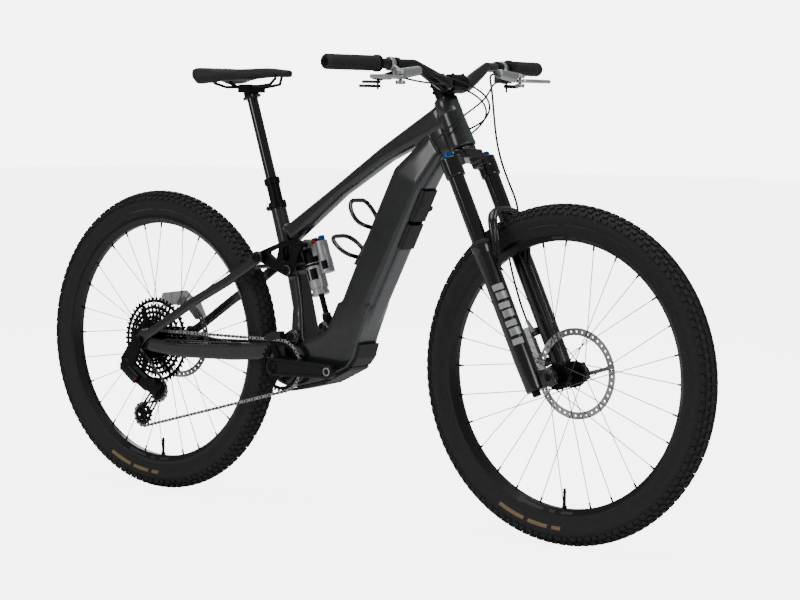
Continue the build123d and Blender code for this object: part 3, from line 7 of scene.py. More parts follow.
# %%
from math import asin, atan2, cos, degrees, pi, radians, sin, sqrt, tau

import bmesh
import bpy
from mathutils import Matrix, Vector


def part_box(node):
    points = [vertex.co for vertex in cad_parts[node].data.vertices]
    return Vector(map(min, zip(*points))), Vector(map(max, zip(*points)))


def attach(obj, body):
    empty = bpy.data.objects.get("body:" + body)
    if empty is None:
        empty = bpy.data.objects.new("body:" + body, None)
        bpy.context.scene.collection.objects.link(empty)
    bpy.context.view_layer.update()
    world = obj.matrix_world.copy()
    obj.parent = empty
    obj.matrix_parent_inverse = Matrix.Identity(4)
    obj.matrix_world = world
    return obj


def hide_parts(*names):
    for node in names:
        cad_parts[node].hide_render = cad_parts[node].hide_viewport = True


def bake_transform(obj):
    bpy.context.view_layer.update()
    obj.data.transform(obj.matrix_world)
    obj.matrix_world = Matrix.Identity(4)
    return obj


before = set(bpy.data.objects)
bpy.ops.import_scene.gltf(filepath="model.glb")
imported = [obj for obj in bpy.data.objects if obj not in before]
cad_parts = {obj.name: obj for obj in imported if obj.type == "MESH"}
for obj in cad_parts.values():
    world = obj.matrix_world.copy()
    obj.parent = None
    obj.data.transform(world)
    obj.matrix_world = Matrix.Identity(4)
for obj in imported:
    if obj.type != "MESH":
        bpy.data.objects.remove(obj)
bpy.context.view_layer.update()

# %% [markdown]
# ## Driving sizes
# The wheel, fork and linkage lines that the new pieces are built on. They repeat the part's own sizes.

# %%
MM = 0.001
WHEEL_X = 0.6044
AXLE_HEIGHT = 0.372
TYRE_RADIUS = 0.372
TYRE_HALF_WIDTH = 0.031
RIM_RADIUS = 0.313
RIM_DEPTH = 0.022
FORK_UP = Vector((-0.43051, 0, 0.90259))
FORK_FRONT = Vector((0.90259, 0, 0.43051))
FORK_FOOT = Vector((0.564686, 0, 0.353058))
CRANK_CENTRE = Vector((-0.164, 0, 0.342))
REAR_AXLE = Vector((-WHEEL_X, 0, AXLE_HEIGHT))
FRONT_AXLE = Vector((WHEEL_X, 0, AXLE_HEIGHT))
MAIN_PIVOT = Vector((-0.136, 0, 0.412))
ROCKER_PIVOT = Vector((-0.156, 0, 0.567))
STAY_PIVOT = Vector((-0.240, 0, 0.595))
SHOCK_TOP = Vector((-0.127, 0, 0.626))
SHOCK_FOOT = Vector((-0.064, 0, 0.440))
CHAIN_LINE = 0.057


def fork_point(forward, side, up):
    """A point in the fork's own axes: ahead of the steering line, to the left of it and up along it."""
    return FORK_FOOT + FORK_FRONT * forward + FORK_UP * up + Vector((0, side, 0))


# %% [markdown]
# ## Small tools
# Pieces are made with bmesh operators, given one material and tied to one body of the frame.

# %%
def linear(code):
    """An sRGB hex colour as linear RGBA."""
    channels = [int(code[place:place + 2], 16) / 255 for place in (0, 2, 4)]
    return (*[c / 12.92 if c <= 0.04045 else ((c + 0.055) / 1.055) ** 2.4 for c in channels], 1.0)


def piece(name, mesh_data, material, body, sharp=35.0):
    """A bmesh as an object with one material, smooth shaded up to a sharp angle, riding on a body."""
    bmesh.ops.recalc_face_normals(mesh_data, faces=mesh_data.faces)
    for face in mesh_data.faces:
        face.smooth = True
    for edge in mesh_data.edges:
        edge.smooth = edge.calc_face_angle(pi) < radians(sharp)
    mesh = bpy.data.meshes.new(name)
    mesh_data.to_mesh(mesh)
    mesh_data.free()
    mesh.materials.append(material)
    thing = bpy.data.objects.new(name, mesh)
    bpy.context.scene.collection.objects.link(thing)
    if body:
        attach(thing, body)
    return thing


def along(direction, start=Vector(), spin=0.0):
    """A matrix that stands local Z along direction at start."""
    return Matrix.Translation(start) @ Vector(direction).to_track_quat("Z", "Y").to_matrix().to_4x4() \
        @ Matrix.Rotation(spin, 4, "Z")


def facing(x_axis, y_axis, z_axis):
    """The turn that lays the local axes along three directions."""
    return Matrix((x_axis, y_axis, z_axis)).transposed().to_4x4()


def run_facing(run):
    """Local X along a run in the bike's side view, local Y to the left."""
    left = Vector((0, 1, 0))
    forward = run.normalized()
    return facing(forward, left, forward.cross(left))


def add_tube(mesh_data, start, end, radius, end_radius=None, sides=32):
    """A closed round bar from start to end."""
    start, end = Vector(start), Vector(end)
    bmesh.ops.create_cone(
        mesh_data, cap_ends=True, segments=sides, radius1=radius,
        radius2=radius if end_radius is None else end_radius,
        depth=(end - start).length, matrix=along(end - start, (start + end) / 2))


def add_turned(mesh_data, profile, place, sides=48):
    """A turned shape: profile points (radius, height) spun about local Z of place."""
    points = [mesh_data.verts.new((radius, 0, height)) for radius, height in profile]
    edges = [mesh_data.edges.new(pair) for pair in zip(points, points[1:])]
    spun = bmesh.ops.spin(mesh_data, geom=points + edges, axis=(0, 0, 1), cent=(0, 0, 0), steps=sides,
                          angle=tau, use_merge=True)
    made = {vert for part in spun["geom_last"] if isinstance(part, bmesh.types.BMVert) for vert in [part]}
    linked = set(points) | made
    frontier = list(linked)
    while frontier:
        vert = frontier.pop()
        for edge in vert.link_edges:
            other = edge.other_vert(vert)
            if other not in linked:
                linked.add(other)
                frontier.append(other)
    bmesh.ops.transform(mesh_data, matrix=place, verts=list(linked))


def add_box(mesh_data, size, place, round_off=0.0, segments=2):
    """A box of size about the place matrix, with rounded edges where asked."""
    made = bmesh.ops.create_cube(mesh_data, size=1.0, matrix=place @ Matrix.Diagonal((*size, 1)))
    if round_off:
        edges = list({edge for vert in made["verts"] for edge in vert.link_edges})
        bmesh.ops.bevel(mesh_data, geom=edges, offset=round_off, segments=segments, profile=0.5,
                        affect="EDGES", material=-1)


def turned_piece(name, profile, place, material, body, sides=48, sharp=35.0):
    """One turned piece."""
    data = bmesh.new()
    add_turned(data, profile, place, sides)
    return piece(name, data, material, body, sharp)


def skin(node, body, material, voxel, rounds, strength=0.5):
    """A smooth moulded skin over a CAD node: its solid remeshed and relaxed, standing for the node."""
    source = bpy.data.objects[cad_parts[node].name]
    copy = bpy.data.objects.new(node + "_skin", source.data.copy())
    bpy.context.scene.collection.objects.link(copy)
    remesh = copy.modifiers.new("remesh", "REMESH")
    remesh.mode = "VOXEL"
    remesh.voxel_size = voxel
    relax = copy.modifiers.new("relax", "SMOOTH")
    relax.factor = strength
    relax.iterations = rounds
    bpy.context.view_layer.update()
    made = bpy.data.meshes.new_from_object(copy.evaluated_get(bpy.context.evaluated_depsgraph_get()))
    copy.modifiers.clear()
    copy.data = made
    made.name = node + "_skin"
    made.materials.clear()
    made.materials.append(material)
    made.shade_smooth()
    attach(copy, body)
    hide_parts(node)
    return copy


def hose(name, points, radius, material, body=None, sides=12):
    """A smooth line through space as a mesh tube, with the given points as its control points."""
    curve = bpy.data.curves.new(name, "CURVE")
    curve.dimensions = "3D"
    spline = curve.splines.new("NURBS")
    spline.points.add(len(points) - 1)
    for place, point in zip(spline.points, points):
        place.co = (*point, 1)
    spline.use_endpoint_u = True
    spline.order_u = 3
    spline.resolution_u = 8
    curve.bevel_depth = radius
    curve.bevel_resolution = sides // 4
    curve.use_fill_caps = True
    line = bpy.data.objects.new(name + "_line", curve)
    bpy.context.scene.collection.objects.link(line)
    bpy.context.view_layer.update()
    mesh = bpy.data.meshes.new_from_object(line.evaluated_get(bpy.context.evaluated_depsgraph_get()))
    bpy.data.objects.remove(line)
    mesh.name = name
    mesh.materials.clear()
    mesh.materials.append(material)
    mesh.shade_smooth()
    tube = bpy.data.objects.new(name, mesh)
    bpy.context.scene.collection.objects.link(tube)
    if body:
        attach(tube, body)
    return tube


# %% [markdown]
# ## Materials
# Every finish is procedural. Scales are in metres, so a grain of 400 is a 2.5 mm pattern.

# %%
def add_node(tree, kind, **values):
    """A shader node with its settings and input values."""
    made = tree.nodes.new(kind)
    for key, value in values.items():
        if key in made.inputs:
            made.inputs[key].default_value = value
        else:
            setattr(made, key, value)
    return made


def finish(name, dark, light=None, metal=0.0, rough=(0.3, 0.45), grain=180.0, bump=0.0, bump_scale=900.0,
           coat=0.0, stretch=(1, 1, 1)):
    """A surface: two tones mixed by noise, roughness varied by the same noise, and a fine bump."""
    made = bpy.data.materials.new(name)
    made.use_nodes = True
    tree = made.node_tree
    shader = tree.nodes["Principled BSDF"]
    place = add_node(tree, "ShaderNodeTexCoord")
    scale = add_node(tree, "ShaderNodeMapping")
    scale.inputs["Scale"].default_value = stretch
    tree.links.new(place.outputs["Object"], scale.inputs["Vector"])
    noise = add_node(tree, "ShaderNodeTexNoise", Scale=grain, Detail=4.0, Roughness=0.6)
    tree.links.new(scale.outputs["Vector"], noise.inputs["Vector"])
    tones = add_node(tree, "ShaderNodeMix", data_type="RGBA")
    tones.inputs["A"].default_value = linear(dark)
    tones.inputs[6].default_value = linear(dark)
    tones.inputs[7].default_value = linear(light or dark)
    tree.links.new(noise.outputs["Fac"], tones.inputs[0])
    tree.links.new(tones.outputs[2], shader.inputs["Base Color"])
    spread = add_node(tree, "ShaderNodeMapRange")
    spread.inputs["To Min"].default_value = rough[0]
    spread.inputs["To Max"].default_value = rough[1]
    tree.links.new(noise.outputs["Fac"], spread.inputs["Value"])
    tree.links.new(spread.outputs["Result"], shader.inputs["Roughness"])
    shader.inputs["Metallic"].default_value = metal
    shader.inputs["Coat Weight"].default_value = coat
    shader.inputs["Coat Roughness"].default_value = 0.08
    if bump:
        fine = add_node(tree, "ShaderNodeTexNoise", Scale=bump_scale, Detail=3.0)
        tree.links.new(scale.outputs["Vector"], fine.inputs["Vector"])
        relief = add_node(tree, "ShaderNodeBump", Strength=1.0, Distance=bump)
        tree.links.new(fine.outputs["Fac"], relief.inputs["Height"])
        tree.links.new(relief.outputs["Normal"], shader.inputs["Normal"])
    return made


def smoke_carbon(name, split_x):
    """Satin clear coat over marbled near-black paint, with a painted grey sheen on the faces turned forward
    and down ahead of split_x, standing for the light on the front of the down tube.
    """
    made = finish(name, "030405", "191c1f", rough=(0.24, 0.38), grain=14.0, coat=0.7)
    tree = made.node_tree
    shader = tree.nodes["Principled BSDF"]
    marble = tree.nodes["Noise Texture"]
    marble.inputs["Detail"].default_value = 9.0
    marble.inputs["Distortion"].default_value = 1.6
    # mask of the painted sheen: faces turned forward and down, ahead of split_x
    surface = add_node(tree, "ShaderNodeNewGeometry")
    facing = add_node(tree, "ShaderNodeVectorMath", operation="DOT_PRODUCT")
    facing.inputs[1].default_value = (0.86, 0, -0.51)
    tree.links.new(surface.outputs["Normal"], facing.inputs[0])
    edge = add_node(tree, "ShaderNodeMapRange")
    edge.inputs["From Min"].default_value = 0.42
    edge.inputs["From Max"].default_value = 0.52
    tree.links.new(facing.outputs["Value"], edge.inputs["Value"])
    place = tree.nodes["Texture Coordinate"]
    split = add_node(tree, "ShaderNodeSeparateXYZ")
    tree.links.new(place.outputs["Object"], split.inputs["Vector"])
    ahead = add_node(tree, "ShaderNodeMath", operation="GREATER_THAN")
    ahead.inputs[1].default_value = split_x
    tree.links.new(split.outputs["X"], ahead.inputs[0])
    share = add_node(tree, "ShaderNodeMath", operation="MULTIPLY")
    tree.links.new(edge.outputs["Result"], share.inputs[0])
    tree.links.new(ahead.outputs["Value"], share.inputs[1])
    # painted sheen: a lighter grey in place of the marble where the mask holds
    painted_sheen_mix = add_node(tree, "ShaderNodeMix", data_type="RGBA")
    painted_sheen_mix.inputs[7].default_value = linear("3d4245")
    old = shader.inputs["Base Color"].links[0].from_socket
    tree.links.new(share.outputs["Value"], painted_sheen_mix.inputs[0])
    tree.links.new(old, painted_sheen_mix.inputs[6])
    tree.links.new(painted_sheen_mix.outputs[2], shader.inputs["Base Color"])
    return made


# satin smoke clear coat over carbon, with a painted grey sheen on the front of the down tube
CARBON = smoke_carbon("carbon_smoke", 0.02)
# the same marbled clear coat on the rear stays
STAY_PAINT = smoke_carbon("stay_smoke", 9.0)
# black anodised machined aluminium
ANODISED = finish("black_anodised", "0c0c0d", "141416", metal=0.7, rough=(0.32, 0.42), grain=300.0)
# forged dark grey anodised cranks
FORGED = finish("forged_grey", "1c1d1f", "2a2b2d", metal=0.75, rough=(0.32, 0.44), grain=120.0,
                bump=0.00002)
# gloss black paint of the fork and posts
GLOSS = finish("gloss_black", "060607", "0a0a0b", rough=(0.08, 0.16), grain=40.0, coat=0.6)
# satin black paint of the fork's lower legs
FORK_PAINT = finish("fork_satin_black", "08090a", "0f1011", rough=(0.18, 0.28), grain=30.0, coat=0.5)
# moulded black nylon
NYLON = finish("moulded_nylon", "0b0b0c", "131314", rough=(0.45, 0.6), grain=200.0, bump=0.00003,
               bump_scale=1500.0)
# cast motor housing
CASTING = finish("cast_housing", "0f1011", "1a1b1d", metal=0.3, rough=(0.5, 0.65), grain=260.0,
                 bump=0.00005)
# brushed stainless steel
STEEL = finish("brushed_steel", "9a9b9e", "c6c7ca", metal=0.8, rough=(0.2, 0.38), grain=90.0,
               stretch=(6, 1, 6))
# polished aluminium
POLISHED = finish("polished_alloy", "c4c6c9", "e2e3e5", metal=0.8, rough=(0.1, 0.22), grain=60.0)
# bead-blasted silver alloy
SATIN_SILVER = finish("satin_silver", "a2a4a7", "c8cacc", metal=0.75, rough=(0.28, 0.4), grain=150.0)
# nickel-plated chain plates
NICKEL = finish("nickel_plate", "97979a", "c8c8c9", metal=0.7, rough=(0.2, 0.34), grain=400.0)
# blackened steel cogs
BLACK_STEEL = finish("black_steel", "131314", "1f1f21", metal=0.85, rough=(0.28, 0.42), grain=260.0)
# moulded tyre rubber
TYRE = finish("tyre_rubber", "101011", "1a1a1b", rough=(0.6, 0.82), grain=90.0, bump=0.00008,
              bump_scale=700.0)
# bronze-coloured sidewall print
PRINT = finish("sidewall_print", "6d5a3f", "8a7350", rough=(0.5, 0.65), grain=300.0)
# grip and guard rubber
RUBBER = finish("grip_rubber", "19191a", "232425", rough=(0.6, 0.75), grain=160.0, bump=0.00005,
                bump_scale=1300.0)
# anodised blue caps and knobs
BLUE = finish("anodised_blue", "0b4fa8", "1463c4", metal=0.8, rough=(0.2, 0.32), grain=200.0)
# anodised red knobs
RED = finish("anodised_red", "98101a", "b71822", metal=0.8, rough=(0.22, 0.34), grain=200.0)
# hose jackets
JACKET = finish("hose_jacket", "070707", "0d0d0d", rough=(0.3, 0.42), grain=200.0)
# matte saddle cover
COVER = finish("saddle_cover", "0a0a0b", "121213", rough=(0.5, 0.62), grain=250.0, bump=0.00006,
               bump_scale=1600.0)
# pale grey printed marks
# charcoal prints, barely lighter than what they are on
DARK_PRINT = finish("charcoal_print", "2a2b2d", "353638", rough=(0.45, 0.55), grain=300.0)
MARK = finish("grey_print", "9b9da0", "aeb0b3", rough=(0.35, 0.45), grain=300.0)
# battery cover plastic
COVER_PLASTIC = finish("cover_plastic", "121314", "1a1b1c", rough=(0.5, 0.62), grain=300.0, bump=0.00003)
# rim finish
RIM_FINISH = finish("rim_satin", "0b0b0c", "121213", metal=0.35, rough=(0.3, 0.42), grain=120.0, coat=0.2)

# %% [markdown]
# ## Finishes on the frame's own nodes

# %%
NODE_FINISH = {
    "battery": COVER_PLASTIC, "battery_cover": COVER_PLASTIC, "motor_guard": NYLON, "drive_unit": CASTING,
    "headset_bearings": ANODISED, "seat_collar": ANODISED, "dropper_outer": ANODISED, "bottle_cage": GLOSS,
    "chain_guide": NYLON, "frame_pivot_pins": STEEL, "dropper_post": GLOSS, "saddle_clamp": ANODISED,
    "saddle_rails": ANODISED, "saddle": COVER, "fork_crown": GLOSS, "fork_stanchions": GLOSS,
    "stem": ANODISED,
    "handlebar": GLOSS, "grips": RUBBER, "brake_masters": POLISHED, "control_mounts": NYLON,
    "control_lines": JACKET, "front_brake_hose": JACKET, "brake_lever_right": POLISHED,
    "brake_lever_left": POLISHED, "upshift_paddle": NYLON, "downshift_paddle": NYLON,
    "remote_paddle": ANODISED,
    "compression_dial": BLUE, "fork_lowers": FORK_PAINT, "front_caliper": POLISHED,
    "rebound_knob": ANODISED,
    "front_tyre": TYRE, "front_rim": RIM_FINISH, "front_spokes": GLOSS, "front_hub": ANODISED,
    "front_rotor": STEEL, "chainstay": STAY_PAINT, "rear_axle": ANODISED, "derailleur_body": ANODISED,
    "derailleur_cage": ANODISED,
    "upper_pulley": NYLON, "lower_pulley": NYLON, "seatstay": STAY_PAINT, "rear_caliper": POLISHED,
    "rocker_link": ANODISED, "shock_shaft": ANODISED, "shock_can": SATIN_SILVER, "shock_rebound_knob": RED,
    "shock_compression_knob": BLUE, "rear_tyre": TYRE, "rear_rim": RIM_FINISH, "rear_spokes": GLOSS,
    "rear_hub": ANODISED, "rear_rotor": STEEL, "cassette": BLACK_STEEL, "crank_arms": FORGED,
    "chainring": BLACK_STEEL, "chain": NICKEL, "main_frame": CARBON,
}
for node_name, look in NODE_FINISH.items():
    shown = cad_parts[node_name]
    shown.data.materials.clear()
    shown.data.materials.append(look)

# %% [markdown]
# ## Moulded skins
# The carbon and forged parts have no hard edges, so each solid is remeshed and relaxed into one skin.

# %%
frame_skin = skin("main_frame", "frame", CARBON, 0.0030, 10)
chainstay_skin = skin("chainstay", "chainstays", STAY_PAINT, 0.0025, 6)
seatstay_skin = skin("seatstay", "seatstays", STAY_PAINT, 0.0025, 6)
rocker_skin = skin("rocker_link", "rocker", ANODISED, 0.0018, 5)
crown_skin = skin("fork_crown", "steering", GLOSS, 0.0022, 4)
derailleur_skin = skin("derailleur_body", "chainstays", ANODISED, 0.0018, 14)
saddle_skin = skin("saddle", "saddle_post", COVER, 0.0030, 12)

# %% [markdown]
# ## Tyres
# A carcass with paired centre blocks, staggered transition blocks and tall side knobs.

# %%
CARCASS = 0.0264
BLOCK_COUNT = 116
BLOCK_ROWS = ((0.24, 0.0125, 0.0095, 0.0046, 0.0), (0.66, 0.0110, 0.0085, 0.0046, 0.5),
              (1.10, 0.0125, 0.0082, 0.0046, 0.0))


def tyre_frame(axle, turn, lean, reach):
    """A matrix on the tyre's surface: Z out of the rubber, X along the tread."""
    ring = TYRE_RADIUS - TYRE_HALF_WIDTH + reach * cos(lean)
    out = Vector((cos(turn) * cos(lean), sin(lean), sin(turn) * cos(lean)))
    tread = Vector((-sin(turn), 0, cos(turn)))
    side = out.cross(tread)
    place = axle + Vector((cos(turn) * ring, reach * sin(lean), sin(turn) * ring))
    return Matrix.Translation(place) @ facing(tread, side, out)


def wheel_place(axle, y=0.0):
    """Local Z along the axle, to the left, and local X up."""
    return Matrix.Translation(axle + Vector((0, y, 0))) @ Matrix(((0, 1, 0), (0, 0, 1), (1, 0, 0))).to_4x4()


def make_tyre(name, body, axle, node):
    data = bmesh.new()
    crown = TYRE_RADIUS - TYRE_HALF_WIDTH
    arc = [radians(-128 + 256 * step / 26) for step in range(27)]
    bead, lip = (RIM_RADIUS - 0.0012, 0.0172), (RIM_RADIUS + 0.0006, 0.0140)
    outside = [(crown + CARCASS * cos(lean), CARCASS * sin(lean)) for lean in arc]
    inner = [(crown + (CARCASS - 0.0025) * cos(lean),
              (CARCASS - 0.0025) * sin(lean)) for lean in reversed(arc)]
    profile = [(bead[0], -bead[1]), *outside, bead]
    inside = [lip, *inner, (lip[0], -lip[1])]
    add_turned(data, profile + inside + profile[:1], wheel_place(axle), 148)
    for row, (lean, length, width, height, phase) in enumerate(BLOCK_ROWS):
        for number in range(BLOCK_COUNT):
            for side in (1, -1):
                shift = phase + (0.5 if row == 2 and number % 2 else 0) * 0.25
                turn = (number + shift) * tau / BLOCK_COUNT
                place = tyre_frame(axle, turn, side * lean, CARCASS + height / 2 - 0.0008)
                long = length * (1.12 if number % 2 else 0.94)
                add_box(data, (long, width, height + 0.0016 - 0.0008), place, 0.0009, 1)
    tyre = piece(name, data, TYRE, body, 28)
    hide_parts(node)
    return tyre


def add_side_print(data, axle, side, radius, width, start, sweep):
    """A thin printed arc on a wheel's side, riding just off the surface at that radius."""
    steps = max(4, int(degrees(sweep) / 2.5))
    points = []
    for place in (radius - width / 2, radius, radius + width / 2):
        gap = place - (TYRE_RADIUS - TYRE_HALF_WIDTH)
        depth = sqrt(max(CARCASS ** 2 - gap ** 2, 0)) + 0.0003
        points.append(data.verts.new(axle + Vector((cos(start) * place, side * depth, sin(start) * place))))
    edges = [data.edges.new(pair) for pair in zip(points, points[1:])]
    bmesh.ops.spin(data, geom=points + edges, axis=(0, -1, 0), cent=axle, steps=steps, angle=sweep)


def make_prints(name, body, axle):
    """Bronze bars low on the side walls, and longer charcoal ones at the top beside the rim."""
    for start, radius, look, bars in ((242, 0.3315, PRINT, ((12, 0), (9, 14), (4, 25))),
                                      (58, 0.3235, DARK_PRINT, ((14, 0), (14, 17), (14, 34)))):
        data = bmesh.new()
        for side in (1, -1):
            for sweep, gap in bars:
                add_side_print(data, axle, side, radius, 0.0075, radians(start + gap), radians(sweep))
        piece(f"{name}_{start}", data, look, body)


make_tyre("front_tyre_tread", "front_wheel", FRONT_AXLE, "front_tyre")
make_tyre("rear_tyre_tread", "rear_wheel", REAR_AXLE, "rear_tyre")
make_prints("front_sidewall_prints", "front_wheel", FRONT_AXLE)
make_prints("rear_sidewall_prints", "rear_wheel", REAR_AXLE)

# %% [markdown]
# ## Rims, nipples, valves and rim prints

# %%
SPOKES = 28


def make_wheel_parts(name, body, axle, flanges):
    step = 360 / (SPOKES / 4)
    nipples = bmesh.new()
    for side, flange in ((1, flanges[0]), (-1, -flanges[1])):
        for turn in (1, -1):
            for number in range(SPOKES // 4):
                hub_turn = radians(number * step + (side + 1) * step / 8 + turn * step * 0.16)
                rim_turn = hub_turn + turn * radians(step * 1.25 - step * 0.16)
                near, far = 0.030, RIM_RADIUS - RIM_DEPTH + 0.0012
                start = axle + Vector((near * cos(hub_turn), flange + turn * 0.0017, near * sin(hub_turn)))
                end = axle + Vector((far * cos(rim_turn), side * 0.003 + turn * 0.0013,
                                     far * sin(rim_turn)))
                add_tube(nipples, end - (end - start).normalized() * 0.013, end, 0.0021, 0.0025, 10)
                add_tube(nipples, start - (end - start).normalized() * 0.002,
                         start + (end - start).normalized() * 0.006, 0.0016, sides=10)
    piece(name + "_nipples", nipples, ANODISED, body)
    valve = bmesh.new()
    foot = axle - Vector((0, 0, RIM_RADIUS - RIM_DEPTH))
    add_tube(valve, foot, foot + Vector((0, 0, 0.006)), 0.0055, sides=20)
    add_tube(valve, foot + Vector((0, 0, 0.006)), foot + Vector((0, 0, 0.034)), 0.0033, sides=20)
    add_tube(valve, foot + Vector((0, 0, 0.034)), foot + Vector((0, 0, 0.044)), 0.0042, 0.003, sides=20)
    piece(name + "_valve", valve, ANODISED, body)
    marks = bmesh.new()
    for side in (1, -1):
        for start in (70, 250):
            for sweep, gap in ((11, 0), (3, 14), (6, 20)):
                points = [marks.verts.new(axle + Vector((cos(radians(start + gap)) * r, side * y,
                                                         sin(radians(start + gap)) * r)))
                          for r, y in ((0.2955, 0.0113), (0.3015, 0.0158))]
                edge = marks.edges.new(points)
                bmesh.ops.spin(marks, geom=points + [edge], axis=(0, -1, 0), cent=axle,
                               steps=max(3, int(sweep / 2)), angle=radians(sweep))
    piece(name + "_rim_marks", marks, DARK_PRINT, body)


make_wheel_parts("front", "front_wheel", FRONT_AXLE, (0.028, 0.032))
make_wheel_parts("rear", "rear_wheel", REAR_AXLE, (0.030, 0.017))


def make_rotor_parts(name, body, axle, y):
    """Six bolts of a brake rotor."""
    bolts = bmesh.new()
    for number in range(6):
        turn = number * tau / 6
        centre = axle + Vector((cos(turn) * 0.022, y, sin(turn) * 0.022))
        add_tube(bolts, centre, centre + Vector((0, 0.003, 0)), 0.0042, sides=16)
    piece(name + "_rotor_bolts", bolts, STEEL, body)


make_rotor_parts("front", "front_wheel", FRONT_AXLE, 0.0405)
make_rotor_parts("rear", "rear_wheel", REAR_AXLE, 0.0595)

# %% [markdown]
# ## Chain
# Real links on the pitch line. The line touches the ring, both pulleys and the working cog.

# %%
PITCH = 0.0127
RING_REACH = PITCH / (2 * sin(pi / 30))
PULLEY_REACH = PITCH / (2 * sin(pi / 14))
LOWER_PULLEY = Vector((-0.617, 0, 0.188))
UPPER_PULLEY = Vector((-0.566, 0, 0.254))
CIRCLES = ((CRANK_CENTRE, RING_REACH), (LOWER_PULLEY, PULLEY_REACH), (UPPER_PULLEY, -PULLEY_REACH),
           (REAR_AXLE, PULLEY_REACH))


def tangent(first, first_reach, second, second_reach):
    """Touching points of the line from one circle to the next; a reach below 0 runs the other way round."""
    gap = second - first
    heading = atan2(gap.z, gap.x) - asin((first_reach - second_reach) / Vector((gap.x, gap.z)).length)
    out = Vector((-sin(heading), 0, cos(heading)))
    return first + out * first_reach, second + out * second_reach


def chain_path():
    """Close points along the pitch line with the number of the stretch that each is on."""
    runs = [tangent(*CIRCLES[number], *CIRCLES[(number + 1) % 4]) for number in range(4)]
    path = []
    for number, (centre, reach) in enumerate(CIRCLES):
        arrive, leave = runs[number - 1][1] - centre, runs[number][0] - centre
        start, end = atan2(arrive.z, arrive.x), atan2(leave.z, leave.x)
        sweep = -((start - end) % tau) if reach > 0 else (end - start) % tau
        for step in range(60):
            turn = start + sweep * step / 60
            path.append((centre + Vector((cos(turn), 0, sin(turn))) * abs(reach), 2 * number))
        for step in range(60):
            path.append((runs[number][0].lerp(runs[number][1], step / 60), 2 * number + 1))
    return path + path[:1]


def chain_points():
    """Pin places at one pitch apart, each with its stretch."""
    path = chain_path()
    lengths = [0.0]
    for (before, _), (after, _) in zip(path, path[1:]):
        lengths.append(lengths[-1] + (after - before).length)
    count = 2 * round(lengths[-1] / PITCH / 2)
    pins = []
    place = 0
    for number in range(count):
        target = lengths[-1] * number / count
        while lengths[place + 1] < target:
            place += 1
        share = (target - lengths[place]) / (lengths[place + 1] - lengths[place])
        pins.append((path[place][0].lerp(path[place + 1][0], share), path[place][1]))
    return pins


def add_link(data, start, end, outer):
    """One link: two waisted plates with their pin ends, and a roller at its start."""
    y_plate, thick = (0.0019, 0.0006) if outer else (0.0012, 0.0005)
    run = end - start
    for side in (1, -1):
        shift = Vector((0, side * y_plate - CHAIN_LINE, 0))
        half = Vector((0, thick / 2, 0))
        for pin in (start, end):
            add_tube(data, pin + shift - half, pin + shift + half, 0.0040, sides=12)
        middle = Matrix.Translation((start + end) / 2 + shift) @ run_facing(run)
        add_box(data, (run.length, thick, 0.0056), middle)
    centre = start - Vector((0, CHAIN_LINE, 0))
    reach = 0.0022 if outer else 0.0010
    add_tube(data, centre - Vector((0, reach, 0)), centre + Vector((0, reach, 0)),
             0.0018 if outer else 0.0038, sides=10)


def make_chain():
    pins = chain_points()
    groups = {name: bmesh.new() for name in ("upper", "lower_front", "lower_rear", "rise")}
    for number, (pin, stretch) in enumerate(pins):
        after = pins[(number + 1) % len(pins)][0]
        if stretch in (0, 6, 7):
            group = "upper"
        elif stretch == 1:
            group = "lower_front" if pin.x > -0.42 else "lower_rear"
        elif stretch in (2, 3, 4):
            group = "lower_rear"
        else:
            group = "rise"
        add_link(groups[group], pin, after, number % 2 == 0)
    made = {name: piece("chain_" + name, data, NICKEL, None, 40) for name, data in groups.items()}
    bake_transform(made["upper"])
    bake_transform(made["lower_front"])
    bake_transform(made["lower_rear"])
    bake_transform(made["rise"])
    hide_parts("chain")


make_chain()

# %% [markdown]
# ## Fork details
# Top caps, leg stripes, the lower leg bolts and the wiper seals.

# %%
LEG_Y = 0.066
LEG_RADIUS = 0.022
FORK_FACING = facing(FORK_FRONT, FORK_UP.cross(FORK_FRONT), FORK_UP)


def fork_place(side, up, forward=0.0):
    """Local Z up the fork leg, local X ahead."""
    return Matrix.Translation(fork_point(forward, side * LEG_Y, up)) @ FORK_FACING


def leg_patch(name, side, low, high, centre, width, radius, material):
    """A thin print on a fork leg: from low to high, centred at an angle round the leg."""
    data = bmesh.new()
    start = radians(centre - width / 2)
    points = [data.verts.new((cos(start) * radius, sin(start) * radius, low + (high - low) * step / 6))
              for step in range(7)]
    edges = [data.edges.new(pair) for pair in zip(points, points[1:])]
    bmesh.ops.spin(data, geom=points + edges, axis=(0, 0, 1), cent=(0, 0, 0), steps=10,
                   angle=radians(width))
    bmesh.ops.transform(data, matrix=fork_place(side, 0), verts=data.verts)
    return piece(name, data, material, "fork_legs")


PRINT_LIFT = 0.0005
for number in range(7):
    low = 0.092 + number * 0.021
    leg_patch(f"right_leg_bar_{number}", -1, low, low + (0.0165 if number % 2 else 0.0135),
              -50 + 6 * (number % 2), 66, LEG_RADIUS + PRINT_LIFT, SATIN_SILVER if number % 2 else MARK)
for number, turn in enumerate((-14, 14)):
    leg_patch(f"left_leg_line_{number}", 1, 0.130, 0.285, turn - 8, 2.6, LEG_RADIUS + PRINT_LIFT, MARK)
for number, up in enumerate((0.130, 0.285)):
    leg_patch(f"left_leg_end_{number}", 1, up - 0.0006, up + 0.0006, -8, 30, LEG_RADIUS + PRINT_LIFT, MARK)
for side, word in ((1, "left"), (-1, "right")):
    turned_piece(word + "_wiper_seal",
                 [(0.0185, 0.3280), (0.0243, 0.3280), (0.0243, 0.3320), (0.0215, 0.3335), (0.0205, 0.3370),
                  (0.0190, 0.3375), (0.0185, 0.3280)], fork_place(side, 0), RUBBER, "fork_legs")
    turned_piece(word + "_foot_bolt", [(0.0, -0.0150), (0.0085, -0.0150), (0.0095, -0.0142),
                                       (0.0095, -0.0125),
                                       (0.0, -0.0125)], fork_place(side, 0), BLACK_STEEL, "fork_legs")
